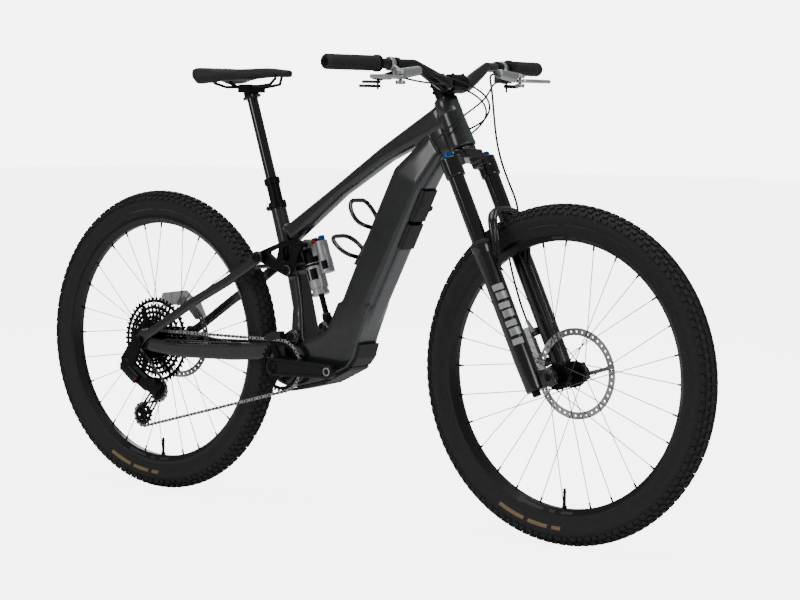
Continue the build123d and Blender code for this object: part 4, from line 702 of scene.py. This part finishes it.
turned_piece("left_top_cap", [(0.0, 0.5440), (0.0035, 0.5440), (0.0045, 0.5470), (0.0120, 0.5470),
                              (0.0140, 0.5450),
                              (0.0140, 0.5390), (0.0, 0.5390)], fork_place(1, 0), BLUE, "steering")

# %% [markdown]
# ## Shock details
# Dark bands and bars printed on the bright can and reservoir, with no words.

# %%
shock_axis = (SHOCK_FOOT - SHOCK_TOP).normalized()
shock_out = Vector((-shock_axis.z, 0, shock_axis.x))


def shock_place(reach, out=0.0):
    """Local Z down the shock, local X forward of it."""
    return Matrix.Translation(SHOCK_TOP + shock_axis * reach + shock_out * out) @ \
        facing(shock_out, shock_axis.cross(shock_out), shock_axis)


def shock_band(name, low, high, radius, material, out=0.0, start=0.0, sweep=360.0):
    data = bmesh.new()
    first_x, first_y = cos(radians(start)) * radius, sin(radians(start)) * radius
    points = [data.verts.new((first_x, first_y, z)) for z in (low, high)]
    edge = data.edges.new(points)
    full = sweep >= 360
    bmesh.ops.spin(data, geom=points + [edge], axis=(0, 0, 1), cent=(0, 0, 0), steps=48 if full else 16,
                   angle=radians(sweep), use_merge=full)
    bmesh.ops.transform(data, matrix=shock_place(0, out), verts=data.verts)
    return piece(name, data, material, "shock_body")


shock_band("can_head_band", 0.0105, 0.0455, 0.0199, ANODISED)
shock_band("can_dark_band", 0.0480, 0.0535, 0.0223, ANODISED)
for number, start in enumerate((40, 220)):
    shock_band(f"can_bar_{number}", 0.0600, 0.0860, 0.0223, BLACK_STEEL, start=start, sweep=46)
    shock_band(f"can_short_bar_{number}", 0.0600, 0.0860, 0.0223, BLACK_STEEL, start=start + 60, sweep=14)
    shock_band(f"reservoir_bar_{number}", 0.0500, 0.0700, 0.0168, BLACK_STEEL, out=0.0375, start=start,
               sweep=52)
turned_piece("shock_bumper", [(0.0071, 0.1665), (0.0100, 0.1667), (0.0108, 0.1690), (0.0106, 0.1728),
                              (0.0071, 0.1735), (0.0071, 0.1665)], shock_place(0), RUBBER, "shock_rod")

# %% [markdown]
# ## Pivot bolts
# A ringed cap on each side of every linkage pivot.

# %%


def pivot_caps(name, centre, half, radius, body):
    """A bright ring and a dark socket cap on both ends of a pivot."""
    ring, cap = bmesh.new(), bmesh.new()
    for side in (1, -1):
        place = Matrix.Translation(centre + Vector((0, side * half, 0))) @ \
            Matrix.Rotation(-side * pi / 2, 4, "X")
        add_turned(ring, [(radius * 0.72, 0.0), (radius, 0.0), (radius, 0.0010), (radius - 0.0006, 0.0016),
                          (radius * 0.72, 0.0016), (radius * 0.72, 0.0)], place)
        add_turned(cap, [(0.0, 0.0004), (radius * 0.32, 0.0004), (radius * 0.34, 0.0012),
                         (radius * 0.68, 0.0012), (radius * 0.70, 0.0), (0.0, 0.0)], place)
    piece(name + "_rings", ring, FORGED, body)
    piece(name + "_caps", cap, BLACK_STEEL, body)


pivot_caps("main_pivot", MAIN_PIVOT, 0.0540, 0.0115, "frame")
pivot_caps("rocker_pivot", ROCKER_PIVOT, 0.0505, 0.0115, "frame")
pivot_caps("stay_pivot", STAY_PIVOT, 0.0648, 0.0085, "rocker")
pivot_caps("shock_foot", SHOCK_FOOT, 0.0290, 0.0078, "frame")

# %% [markdown]
# ## Fork lower legs
# Two turned legs joined by a curved arch, with dropout lugs, an axle and the brake posts.

# %%


LEG_PROFILE = [(0.0186, 0.3270), (0.0240, 0.3270), (0.0242, 0.3170), (0.0222, 0.3120), (LEG_RADIUS, 0.3050),
               (LEG_RADIUS, 0.0600), (0.0208, 0.0200), (0.0200, -0.0090), (0.0185, -0.0140), (0.0, -0.0140)]


def make_lowers():
    data = bmesh.new()
    for side in (1, -1):
        add_turned(data, LEG_PROFILE, fork_place(side, 0), 56)
        for forward, up, size, roll_by in ((0.030, 0.004, (0.056, 0.011, 0.040), 0.10),
                                           (0.046, -0.002, (0.026, 0.013, 0.034), 0.0)):
            place = Matrix.Translation(fork_point(forward, side * 0.0630, up)) @ FORK_FACING @ \
                Matrix.Rotation(roll_by, 4, "Y")
            add_box(data, size, place, 0.005, 3)
        add_turned(data, [(0.0, -0.007), (0.0160, -0.007), (0.0170, -0.006), (0.0170, 0.006),
                          (0.0160, 0.007), (0.0, 0.007)], wheel_place(FRONT_AXLE, side * 0.062), 40)
    for forward, up in ((-0.0300, 0.055), (-0.0300, 0.127)):
        place = Matrix.Translation(fork_point(forward, 0.058, up)) @ FORK_FACING
        add_box(data, (0.020, 0.014, 0.018), place, 0.004, 3)
    legs = piece("fork_lower_legs", data, FORK_PAINT, "fork_legs")
    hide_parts("fork_lowers")
    arch_route = [(0.004, 0.0560, 0.262), (0.019, 0.0575, 0.300), (0.034, 0.0580, 0.335),
                  (0.0385, 0.0530, 0.374), (0.0395, 0.0330, 0.3905), (0.0395, 0.0, 0.3935)]
    route = arch_route + [(forward, -side, up) for forward, side, up in reversed(arch_route[:-1])]
    for name, lift, radius in (("fork_arch", 0.0, 0.0085), ("fork_arch_rib", 0.0095, 0.0048)):
        points = [fork_point(forward + lift, side, up - lift * 0.3) for forward, side, up in route]
        hose(name, points, radius, FORK_PAINT, "fork_legs", 24)
    axle = bmesh.new()
    add_tube(axle, FRONT_AXLE - Vector((0, 0.0700, 0)), FRONT_AXLE + Vector((0, 0.0700, 0)), 0.0074,
             sides=32)
    add_tube(axle, FRONT_AXLE + Vector((0, 0.0690, 0)), FRONT_AXLE + Vector((0, 0.0735, 0)), 0.0105,
             sides=32)
    piece("fork_thru_axle", axle, ANODISED, "fork_legs")


make_lowers()

# %% [markdown]
# ## Crank arms
# Forged arms with a sunk face and a rounded rim edge, on one spindle with its end caps.

# %%
CRANK_LENGTH = 0.165
ARM_INNER, ARM_OUTER = 0.0705, 0.0880


def arm_outline(length, boss, eye, steps=14):
    """A tapered outline round both ends of an arm that points along +X."""
    lean = asin((boss - eye) / length)
    back_arc = [pi / 2 - lean + (pi + 2 * lean) * step / steps for step in range(steps + 1)]
    front_arc = [-pi / 2 - lean + (pi - 0) * step / steps for step in range(steps + 1)]
    return [(boss * cos(turn), boss * sin(turn)) for turn in back_arc] + \
        [(length + eye * cos(turn), eye * sin(turn)) for turn in front_arc]


def make_crank(side, name):
    """side is 1 on the left. The right arm points forward, the left one back."""
    data = bmesh.new()
    heading = -side
    verts = [data.verts.new((CRANK_CENTRE.x + heading * x, side * ARM_INNER, CRANK_CENTRE.z + z))
             for x, z in arm_outline(CRANK_LENGTH, 0.0215, 0.0160)]
    face = data.faces.new(verts)
    grown = bmesh.ops.extrude_face_region(data, geom=[face])
    moved = [part for part in grown["geom"] if isinstance(part, bmesh.types.BMVert)]
    bmesh.ops.translate(data, vec=(0, side * (ARM_OUTER - ARM_INNER), 0), verts=moved)
    outer = next(part for part in grown["geom"] if isinstance(part, bmesh.types.BMFace))
    rim_edges = list(outer.edges)
    bmesh.ops.bevel(data, geom=rim_edges, offset=0.0028, segments=3, profile=0.5, affect="EDGES",
                    material=-1)
    outer = max((part for part in data.faces if len(part.verts) > 12),
                key=lambda part: side * part.calc_center_median().y)
    bmesh.ops.inset_region(data, faces=[outer], thickness=0.0038, depth=0)
    outer = max((part for part in data.faces if len(part.verts) > 12), key=lambda part: (
        round(side * part.calc_center_median().y, 5), -part.calc_area()))
    bmesh.ops.inset_region(data, faces=[outer], thickness=0.0016, depth=-0.0022)
    arm = piece(name, data, FORGED, "crank", 30)
    eye = CRANK_CENTRE + Vector((heading * CRANK_LENGTH, side * ARM_OUTER, 0))
    eye.y = side * ARM_OUTER
    bore = bmesh.new()
    place = Matrix.Translation(eye) @ Matrix.Rotation(-side * pi / 2, 4, "X")
    add_turned(bore, [(0.0071, -0.0160), (0.0071, 0.0004), (0.0098, 0.0004), (0.0104, -0.0006),
                      (0.0104, -0.0160), (0.0071, -0.0160)], place, 40)
    piece(name + "_pedal_eye", bore, STEEL, "crank")
    boss = bmesh.new()
    centre = Vector((CRANK_CENTRE.x, side * (ARM_OUTER - 0.0026), CRANK_CENTRE.z))
    place = Matrix.Translation(centre) @ Matrix.Rotation(-side * pi / 2, 4, "X")
    add_turned(boss, [(0.0, -0.0010), (0.0055, -0.0010), (0.0060, 0.0020), (0.0120, 0.0024),
                      (0.0135, 0.0010), (0.0135, -0.0030)], place, 40)
    piece(name + "_spindle_cap", boss, BLACK_STEEL, "crank")
    return arm


right_arm = make_crank(-1, "right_crank_arm")
make_crank(1, "left_crank_arm")
spindle = bmesh.new()
add_tube(spindle, CRANK_CENTRE - Vector((0, 0.0850, 0)), CRANK_CENTRE + Vector((0, 0.0850, 0)), 0.0118,
         sides=40)
piece("crank_spindle", spindle, STEEL, "crank")
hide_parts("crank_arms")

# %% [markdown]
# ## Derailleur cage, pulleys' bolts, battery and accent

# %%


def add_plate(data, points, width, y, thick):
    """Rounded links of a plate from point to point."""
    for start, end in zip(points, points[1:]):
        run = end - start
        place = Matrix.Translation((start + end) / 2 + Vector((0, y, 0))) @ run_facing(run)
        add_box(data, (run.length + width * 0.6, thick, width), place, thick * 0.35, 2)


def add_disc_ring(data, centre, y, outer, inner, thick, sides=40):
    add_turned(data, [(inner, -thick / 2), (outer, -thick / 2), (outer, thick / 2), (inner, thick / 2),
                      (inner, -thick / 2)], wheel_place(Vector((centre.x, 0, centre.z)), y), sides)


def make_cage():
    data = bmesh.new()
    for y, thick in ((-0.0500, 0.0020), (-0.0640, 0.0024)):
        add_disc_ring(data, LOWER_PULLEY, y, 0.0190, 0.0150, thick)
        add_disc_ring(data, UPPER_PULLEY, y, 0.0150, 0.0050, thick)
        for number in range(3):
            turn = radians(20 + 120 * number)
            spoke = LOWER_PULLEY + Vector((cos(turn), 0, sin(turn))) * 0.0165
            add_plate(data, [LOWER_PULLEY, spoke], 0.0060, y, thick)
        side = (UPPER_PULLEY - LOWER_PULLEY).normalized().cross(Vector((0, 1, 0)))
        for shift in (0.0095, -0.0095):
            add_plate(data, [LOWER_PULLEY + side * shift * 1.4, UPPER_PULLEY + side * shift], 0.0055, y,
                      thick)
    for pulley in (LOWER_PULLEY, UPPER_PULLEY):
        add_tube(data, pulley - Vector((0, 0.0490, 0)), pulley - Vector((0, 0.0655, 0)), 0.0045, sides=20)
    cage = piece("derailleur_cage_plates", data, ANODISED, "derailleur_arm")
    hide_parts("derailleur_cage")


make_cage()
pod = bmesh.new()
pod_facing = run_facing(Vector((0.075, 0, -0.052)))
add_box(pod, (0.044, 0.010, 0.026), Matrix.Translation((-0.615, -0.1000, 0.292)) @ pod_facing, 0.0035, 3)
piece("derailleur_side_plate", pod, FORGED, "chainstays")
battery_pod = bmesh.new()
add_box(battery_pod, (0.024, 0.026, 0.036), Matrix.Translation((-0.650, -0.078, 0.318)) @ pod_facing, 0.004, 3)
piece("derailleur_battery", battery_pod, NYLON, "chainstays")
accent = bmesh.new()
add_tube(accent, (-0.600, -0.1048, 0.283), (-0.600, -0.1058, 0.283), 0.0035, sides=24)
piece("derailleur_accent", accent, RED, "chainstays")

# %% [markdown]
# ## Frame furniture
# Battery cover latch, bottle cage and chainstay guard.

# %%
cover_low, cover_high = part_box("battery_cover")
tube_run = Vector((0.535, 0, 0.845)).normalized()
tube_out = Vector((tube_run.z, 0, -tube_run.x))
cover_middle = (cover_low + cover_high) / 2
latch = bmesh.new()
add_turned(latch, [(0.0, 0.0005), (0.0050, 0.0005), (0.0058, 0.0012), (0.0075, 0.0012), (0.0080, 0.0),
                   (0.0, 0.0)],
           along(tube_out, cover_middle + tube_run * 0.040 + tube_out * 0.0225), 32)
piece("battery_latch", latch, BLACK_STEEL, "frame")


def make_bottle_cage():
    """A moulded cage: a back plate and two leaning loops."""
    run = tube_run
    out = -tube_out
    back_low = Vector((0.0195, 0, 0.5865))
    top = back_low + run * 0.132
    data = bmesh.new()
    facing_back = facing(out, Vector((0, 1, 0)), run)
    add_box(data, (0.0055, 0.022, 0.132), Matrix.Translation((back_low + top) / 2) @ facing_back, 0.002, 2)
    plate = piece("bottle_cage_plate", data, GLOSS, "frame")
    for number, (start, low_reach) in enumerate(((0.018, 0.026), (0.100, 0.126))):
        loop = [(start, 0.003, 0.0), (start + 0.002, 0.008, 0.026), (start + 0.003, 0.030, 0.0400),
                ((start + low_reach) / 2 + 0.002, 0.058, 0.0400), (low_reach, 0.078, 0.026),
                (low_reach, 0.079, 0.0)]
        route = loop + [(reach, depth, -side) for reach, depth, side in reversed(loop[:-1])]
        points = [back_low + run * reach + out * depth + Vector((0, side, 0))
                  for reach, depth, side in route]
        hose(f"bottle_cage_loop_{number}", points, 0.0052, GLOSS, "frame", 16)
    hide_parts("bottle_cage")


make_bottle_cage()

guard = bmesh.new()
for step in range(26):
    x = -0.300 - step * 0.0088
    y = -(0.0560 + 0.0215 * step / 25)
    z = 0.3860 - 0.0042 * step / 25
    rib_place = Matrix.Translation((x, y, z)) @ Matrix.Rotation(radians(18), 4, "Y")
    add_box(guard, (0.0060, 0.0120, 0.0035), rib_place, 0.0009, 1)
piece("chainstay_guard_ribs", guard, RUBBER, "chainstays")

# %% [markdown]
# ## Cockpit
# Ribbed grips, curved levers, clamp and cap bolts, and moulded skins over the masters and switches.

# %%
BAR_CENTRE = Vector((0.299, 0, 1.001))
GRIP_START = 0.238
LEVER_PIVOT_Y = 0.222


def bar_point(side, y, forward=0.0, down=0.0):
    """A point placed from the bar's straight outer stretch at y: ahead of it and below it."""
    near = BAR_CENTRE + Vector((-0.012, side * 0.132, 0.040))
    far = BAR_CENTRE + Vector((-0.049, side * 0.388, 0.041))
    return near.lerp(far, (y - 0.132) / 0.256) + Vector((forward, 0, -down))


def grip_profile():
    """Half section of a grip: inner clamp flange, ribs and a closed, rounded end."""
    profile = [(0.0112, 0.0), (0.0172, 0.0), (0.0180, 0.0010), (0.0180, 0.0105), (0.0168, 0.0120)]
    for rib in range(24):
        low = 0.0160 + rib * 0.0055
        profile += [(0.0167, low), (0.0158, low + 0.0006), (0.0158, low + 0.0018), (0.0167, low + 0.0024)]
    return profile + [(0.0166, 0.1500), (0.0155, 0.1530), (0.0130, 0.1540), (0.0, 0.1540)]


for side, word in ((-1, "right"), (1, "left")):
    outward = (bar_point(side, 0.388) - bar_point(side, 0.132)).normalized()
    grip = turned_piece(word + "_grip", grip_profile(), along(outward, bar_point(side, GRIP_START)), RUBBER,
                        "steering", sides=56)
    if side == -1:
        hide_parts("grips")
    turned_piece(word + "_grip_clamp", [(0.0182, 0.0015), (0.0187, 0.0020), (0.0187, 0.0095),
                                        (0.0182, 0.0100)],
                 along(outward, bar_point(side, GRIP_START)), ANODISED, "steering", sides=56)
    turned_piece(word + "_grip_plug", [(0.0, 0.1541), (0.0020, 0.1541), (0.0024, 0.1548), (0.0098, 0.1548),
                                       (0.0104, 0.1541)], along(outward, bar_point(side, GRIP_START)),
                                       ANODISED,
                 "steering", sides=40)

    # a blade that curves ahead of the bar and back in, with its boss
    pivot = bar_point(side, LEVER_PIVOT_Y, 0.045, 0.030)
    blade_route = [(0.000, 0.000), (0.009, 0.010), (0.013, 0.030), (0.009, 0.058), (0.006, 0.082),
                   (0.010, 0.100), (0.006, 0.109)]
    blade_points = [pivot + Vector((ahead, side * out, 0)) for ahead, out in blade_route]
    blade = hose(word + "_lever_blade", blade_points, 0.0046, POLISHED, word + "_brake_lever", 16)
    boss = turned_piece(word + "_lever_boss", [(0.0031, -0.0045), (0.0086, -0.0045), (0.0092, -0.0038),
                                               (0.0092, 0.0038), (0.0086, 0.0045), (0.0031, 0.0045),
                                               (0.0031, -0.0045)], Matrix.Translation(pivot), POLISHED,
                        word + "_brake_lever")
    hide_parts("brake_lever_" + word)

for node_name, body, look, voxel in (
        ("brake_masters", "steering", SATIN_SILVER, 0.0014), ("control_mounts", "steering", NYLON, 0.0014),
        ("upshift_paddle", "upshift", NYLON, 0.0009), ("downshift_paddle", "downshift", NYLON, 0.0009),
        ("stem", "steering", ANODISED, 0.0016)):
    skin(node_name, body, look, voxel, 4)

stem_bolts = bmesh.new()
for side in (1, -1):
    for rise in (0.0145, -0.0145):
        head = BAR_CENTRE + FORK_FRONT * 0.0115 + FORK_UP * rise + Vector((0, side * 0.0185, 0))
        add_turned(stem_bolts, [(0.0, 0.0045), (0.0018, 0.0045), (0.0020, 0.0062), (0.0036, 0.0062),
                                (0.0040, 0.0055), (0.0040, 0.0), (0.0, 0.0)], along(FORK_FRONT, head), 20)
    for rise in (0.7010, 0.7170):
        head = fork_point(-0.0120, side * 0.0128, rise)
        add_turned(stem_bolts, [(0.0, 0.0030), (0.0016, 0.0030), (0.0018, 0.0045), (0.0034, 0.0045),
                                (0.0038, 0.0), (0.0, 0.0)], along((-0.4, side, 0), head), 20)
piece("stem_bolts", stem_bolts, BLACK_STEEL, "steering")
turned_piece("stem_cap_bolt", [(0.0, 0.7364), (0.0022, 0.7364), (0.0026, 0.7375), (0.0048, 0.7375),
                               (0.0056, 0.7364)],
             along(FORK_UP, fork_point(0, 0, 0)), BLACK_STEEL, "steering", sides=24)

# %% [markdown]
# ## Hoses
# Four lines along the part's own routes, each held at both ends and bending in between.

# %%
FRONT_HOSE = [
    (309, 145, 1026), (312, 122, 1025), (322, 100, 1018), (338, 82, 1002), (354, 66, 976), (366, 54, 944),
    (376, 46, 908), (386, 42, 866), (400, 41, 824), (420, 41, 782), (440, 40.5, 744), (448, 39.5, 710),
    (428, 38.5, 680), (420, 38, 650), (424, 38, 616), (434, 38.5, 578), (446, 40, 540), (456, 44, 506),
    (466, 48, 480)]
CONTROL_ROUTES = {
    "rear_brake_line": [
        (309, -145, 1026), (316, -112, 1022), (334, -78, 1014), (352, -44, 1004), (366, -8, 990),
        (370, 26, 970), (362, 48, 946), (346, 52, 924), (330, 44, 910), (317, 33.5, 902)],
    "shift_line": [
        (296, -176, 1010), (306, -146, 1004), (324, -112, 1000), (342, -76, 996), (356, -40, 988),
        (364, -6, 974), (364, 26, 954), (354, 45, 932), (339, 47, 912), (327, 38, 898), (319, 30.5, 888)],
    "dropper_line": [
        (296, 176, 1010), (304, 146, 1006), (320, 112, 998), (336, 80, 986), (348, 48, 970), (350, 16, 954),
        (346, -16, 937), (334, -38, 920), (316, -46, 903), (296, -42, 890), (281, -35, 881)]}


def in_metres(route):
    return [Vector(point) * MM for point in route]


front_route = in_metres(FRONT_HOSE)
front_hose = hose("front_brake_line", front_route, 0.0025, JACKET, sides=16)
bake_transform(front_hose)
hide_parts("front_brake_hose")
banjo = bmesh.new()
add_tube(banjo, front_route[-1], fork_point(-0.031, 0.052, 0.128), 0.0042, 0.0052, 20)
piece("caliper_hose_fitting", banjo, SATIN_SILVER, "fork_legs")
for name, route in CONTROL_ROUTES.items():
    points = in_metres(route)
    line = hose(name, points, 0.0022, JACKET, sides=16)
    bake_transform(line)
    if name == "rear_brake_line":
        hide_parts("control_lines")

# %% [markdown]
# ## Head tube details
# A crisp rim over the upper bearing, and the web that closes the corner between head tube and down tube.

# %%
head_axis = along(FORK_UP, fork_point(0, 0, 0))
turned_piece("head_tube_rim", [(0.0276, 0.6430), (0.0282, 0.6440), (0.0274, 0.6650), (0.0271, 0.6785),
                               (0.0265, 0.6794), (0.0205, 0.6794)], head_axis, CARBON, "frame", sides=56)
web = bmesh.new()
WEB_CENTRE = Vector((0.266, 0, 0.880))
web_facing = facing(FORK_FRONT, Vector((0, 1, 0)), FORK_UP)
add_box(web, (0.046, 0.040, 0.082), Matrix.Translation(WEB_CENTRE) @ web_facing, 0.010, 4)
piece("head_tube_web", web, CARBON, "frame")

# %% [markdown]
# ## Camera, light and floor
# The paper is bright to the camera alone, so the dark paint mirrors a dim room with soft boxes in it.

# %%
LENS = 100.14
CAMERA_PLACE = (3.2762, -3.9842, 0.9135)
CAMERA_TURN = (38.148, 4.5455, 0.3326)
PAPER_GLOW = 6.4
ROOM_GLOW = 0.24
azimuth, elevation, roll = [radians(value) for value in CAMERA_TURN]
back = Vector((sin(azimuth) * cos(elevation), -cos(azimuth) * cos(elevation), sin(elevation)))
level = Vector((cos(azimuth), sin(azimuth), 0))
above = back.cross(level)
right = level * cos(roll) + above * sin(roll)
upward = above * cos(roll) - level * sin(roll)
camera_data = bpy.data.cameras.new("camera")
camera_data.lens = LENS
camera_data.sensor_width = 36
camera_data.clip_end = 100
camera = bpy.data.objects.new("camera", camera_data)
camera.matrix_world = Matrix.Translation(CAMERA_PLACE) @ facing(right, upward, back)
bpy.context.scene.collection.objects.link(camera)
bpy.context.scene.camera = camera


def soft_light(name, place, aim, size, power):
    """A square soft box at place, pointing at aim."""
    data = bpy.data.lights.new(name, "AREA")
    data.size = size
    data.energy = power
    lamp = bpy.data.objects.new(name, data)
    lamp.matrix_world = Matrix.Translation(place) @ \
        (Vector(aim) - Vector(place)).to_track_quat("-Z", "Y").to_matrix().to_4x4()
    bpy.context.scene.collection.objects.link(lamp)
    return lamp


soft_light("top", (0.3, -0.6, 4.2), (0, 0, 0.4), 3.2, 95)
soft_light("front", (4.4, -0.6, 2.0), (0.3, 0, 0.5), 1.6, 38)
soft_light("side", (-1.6, -4.6, 2.2), (-0.1, 0, 0.5), 1.8, 45)
soft_light("rim", (-3.0, 3.0, 2.6), (0, 0, 0.5), 2.0, 60)

world = bpy.data.worlds.new("studio")
world.use_nodes = True
world_tree = world.node_tree
backdrop = world_tree.nodes["Background"]
backdrop.inputs["Color"].default_value = linear("ffffff")
who_looks = add_node(world_tree, "ShaderNodeLightPath")
glow = add_node(world_tree, "ShaderNodeMapRange")
glow.inputs["To Min"].default_value = ROOM_GLOW
glow.inputs["To Max"].default_value = PAPER_GLOW
world_tree.links.new(who_looks.outputs["Is Camera Ray"], glow.inputs["Value"])
world_tree.links.new(glow.outputs["Result"], backdrop.inputs["Strength"])
bpy.context.scene.world = world

# matte paper floor, lifted to the backdrop's brightness for the camera
PAPER = finish("floor_paper", "e8e8e8", "eaeaea", rough=(0.9, 0.95), grain=1.0)
paper_tree = PAPER.node_tree
paper_looks = add_node(paper_tree, "ShaderNodeLightPath")
paper_glow = add_node(paper_tree, "ShaderNodeMath", operation="MULTIPLY")
paper_glow.inputs[1].default_value = PAPER_GLOW * 0.82
paper_tree.links.new(paper_looks.outputs["Is Camera Ray"], paper_glow.inputs[0])
paper_shader = paper_tree.nodes["Principled BSDF"]
paper_shader.inputs["Emission Color"].default_value = linear("ffffff")
paper_shader.inputs["Specular IOR Level"].default_value = 0.0
paper_tree.links.new(paper_glow.outputs["Value"], paper_shader.inputs["Emission Strength"])
floor_data = bmesh.new()
bmesh.ops.create_grid(floor_data, x_segments=1, y_segments=1, size=30)
floor = piece("floor", floor_data, PAPER, None)
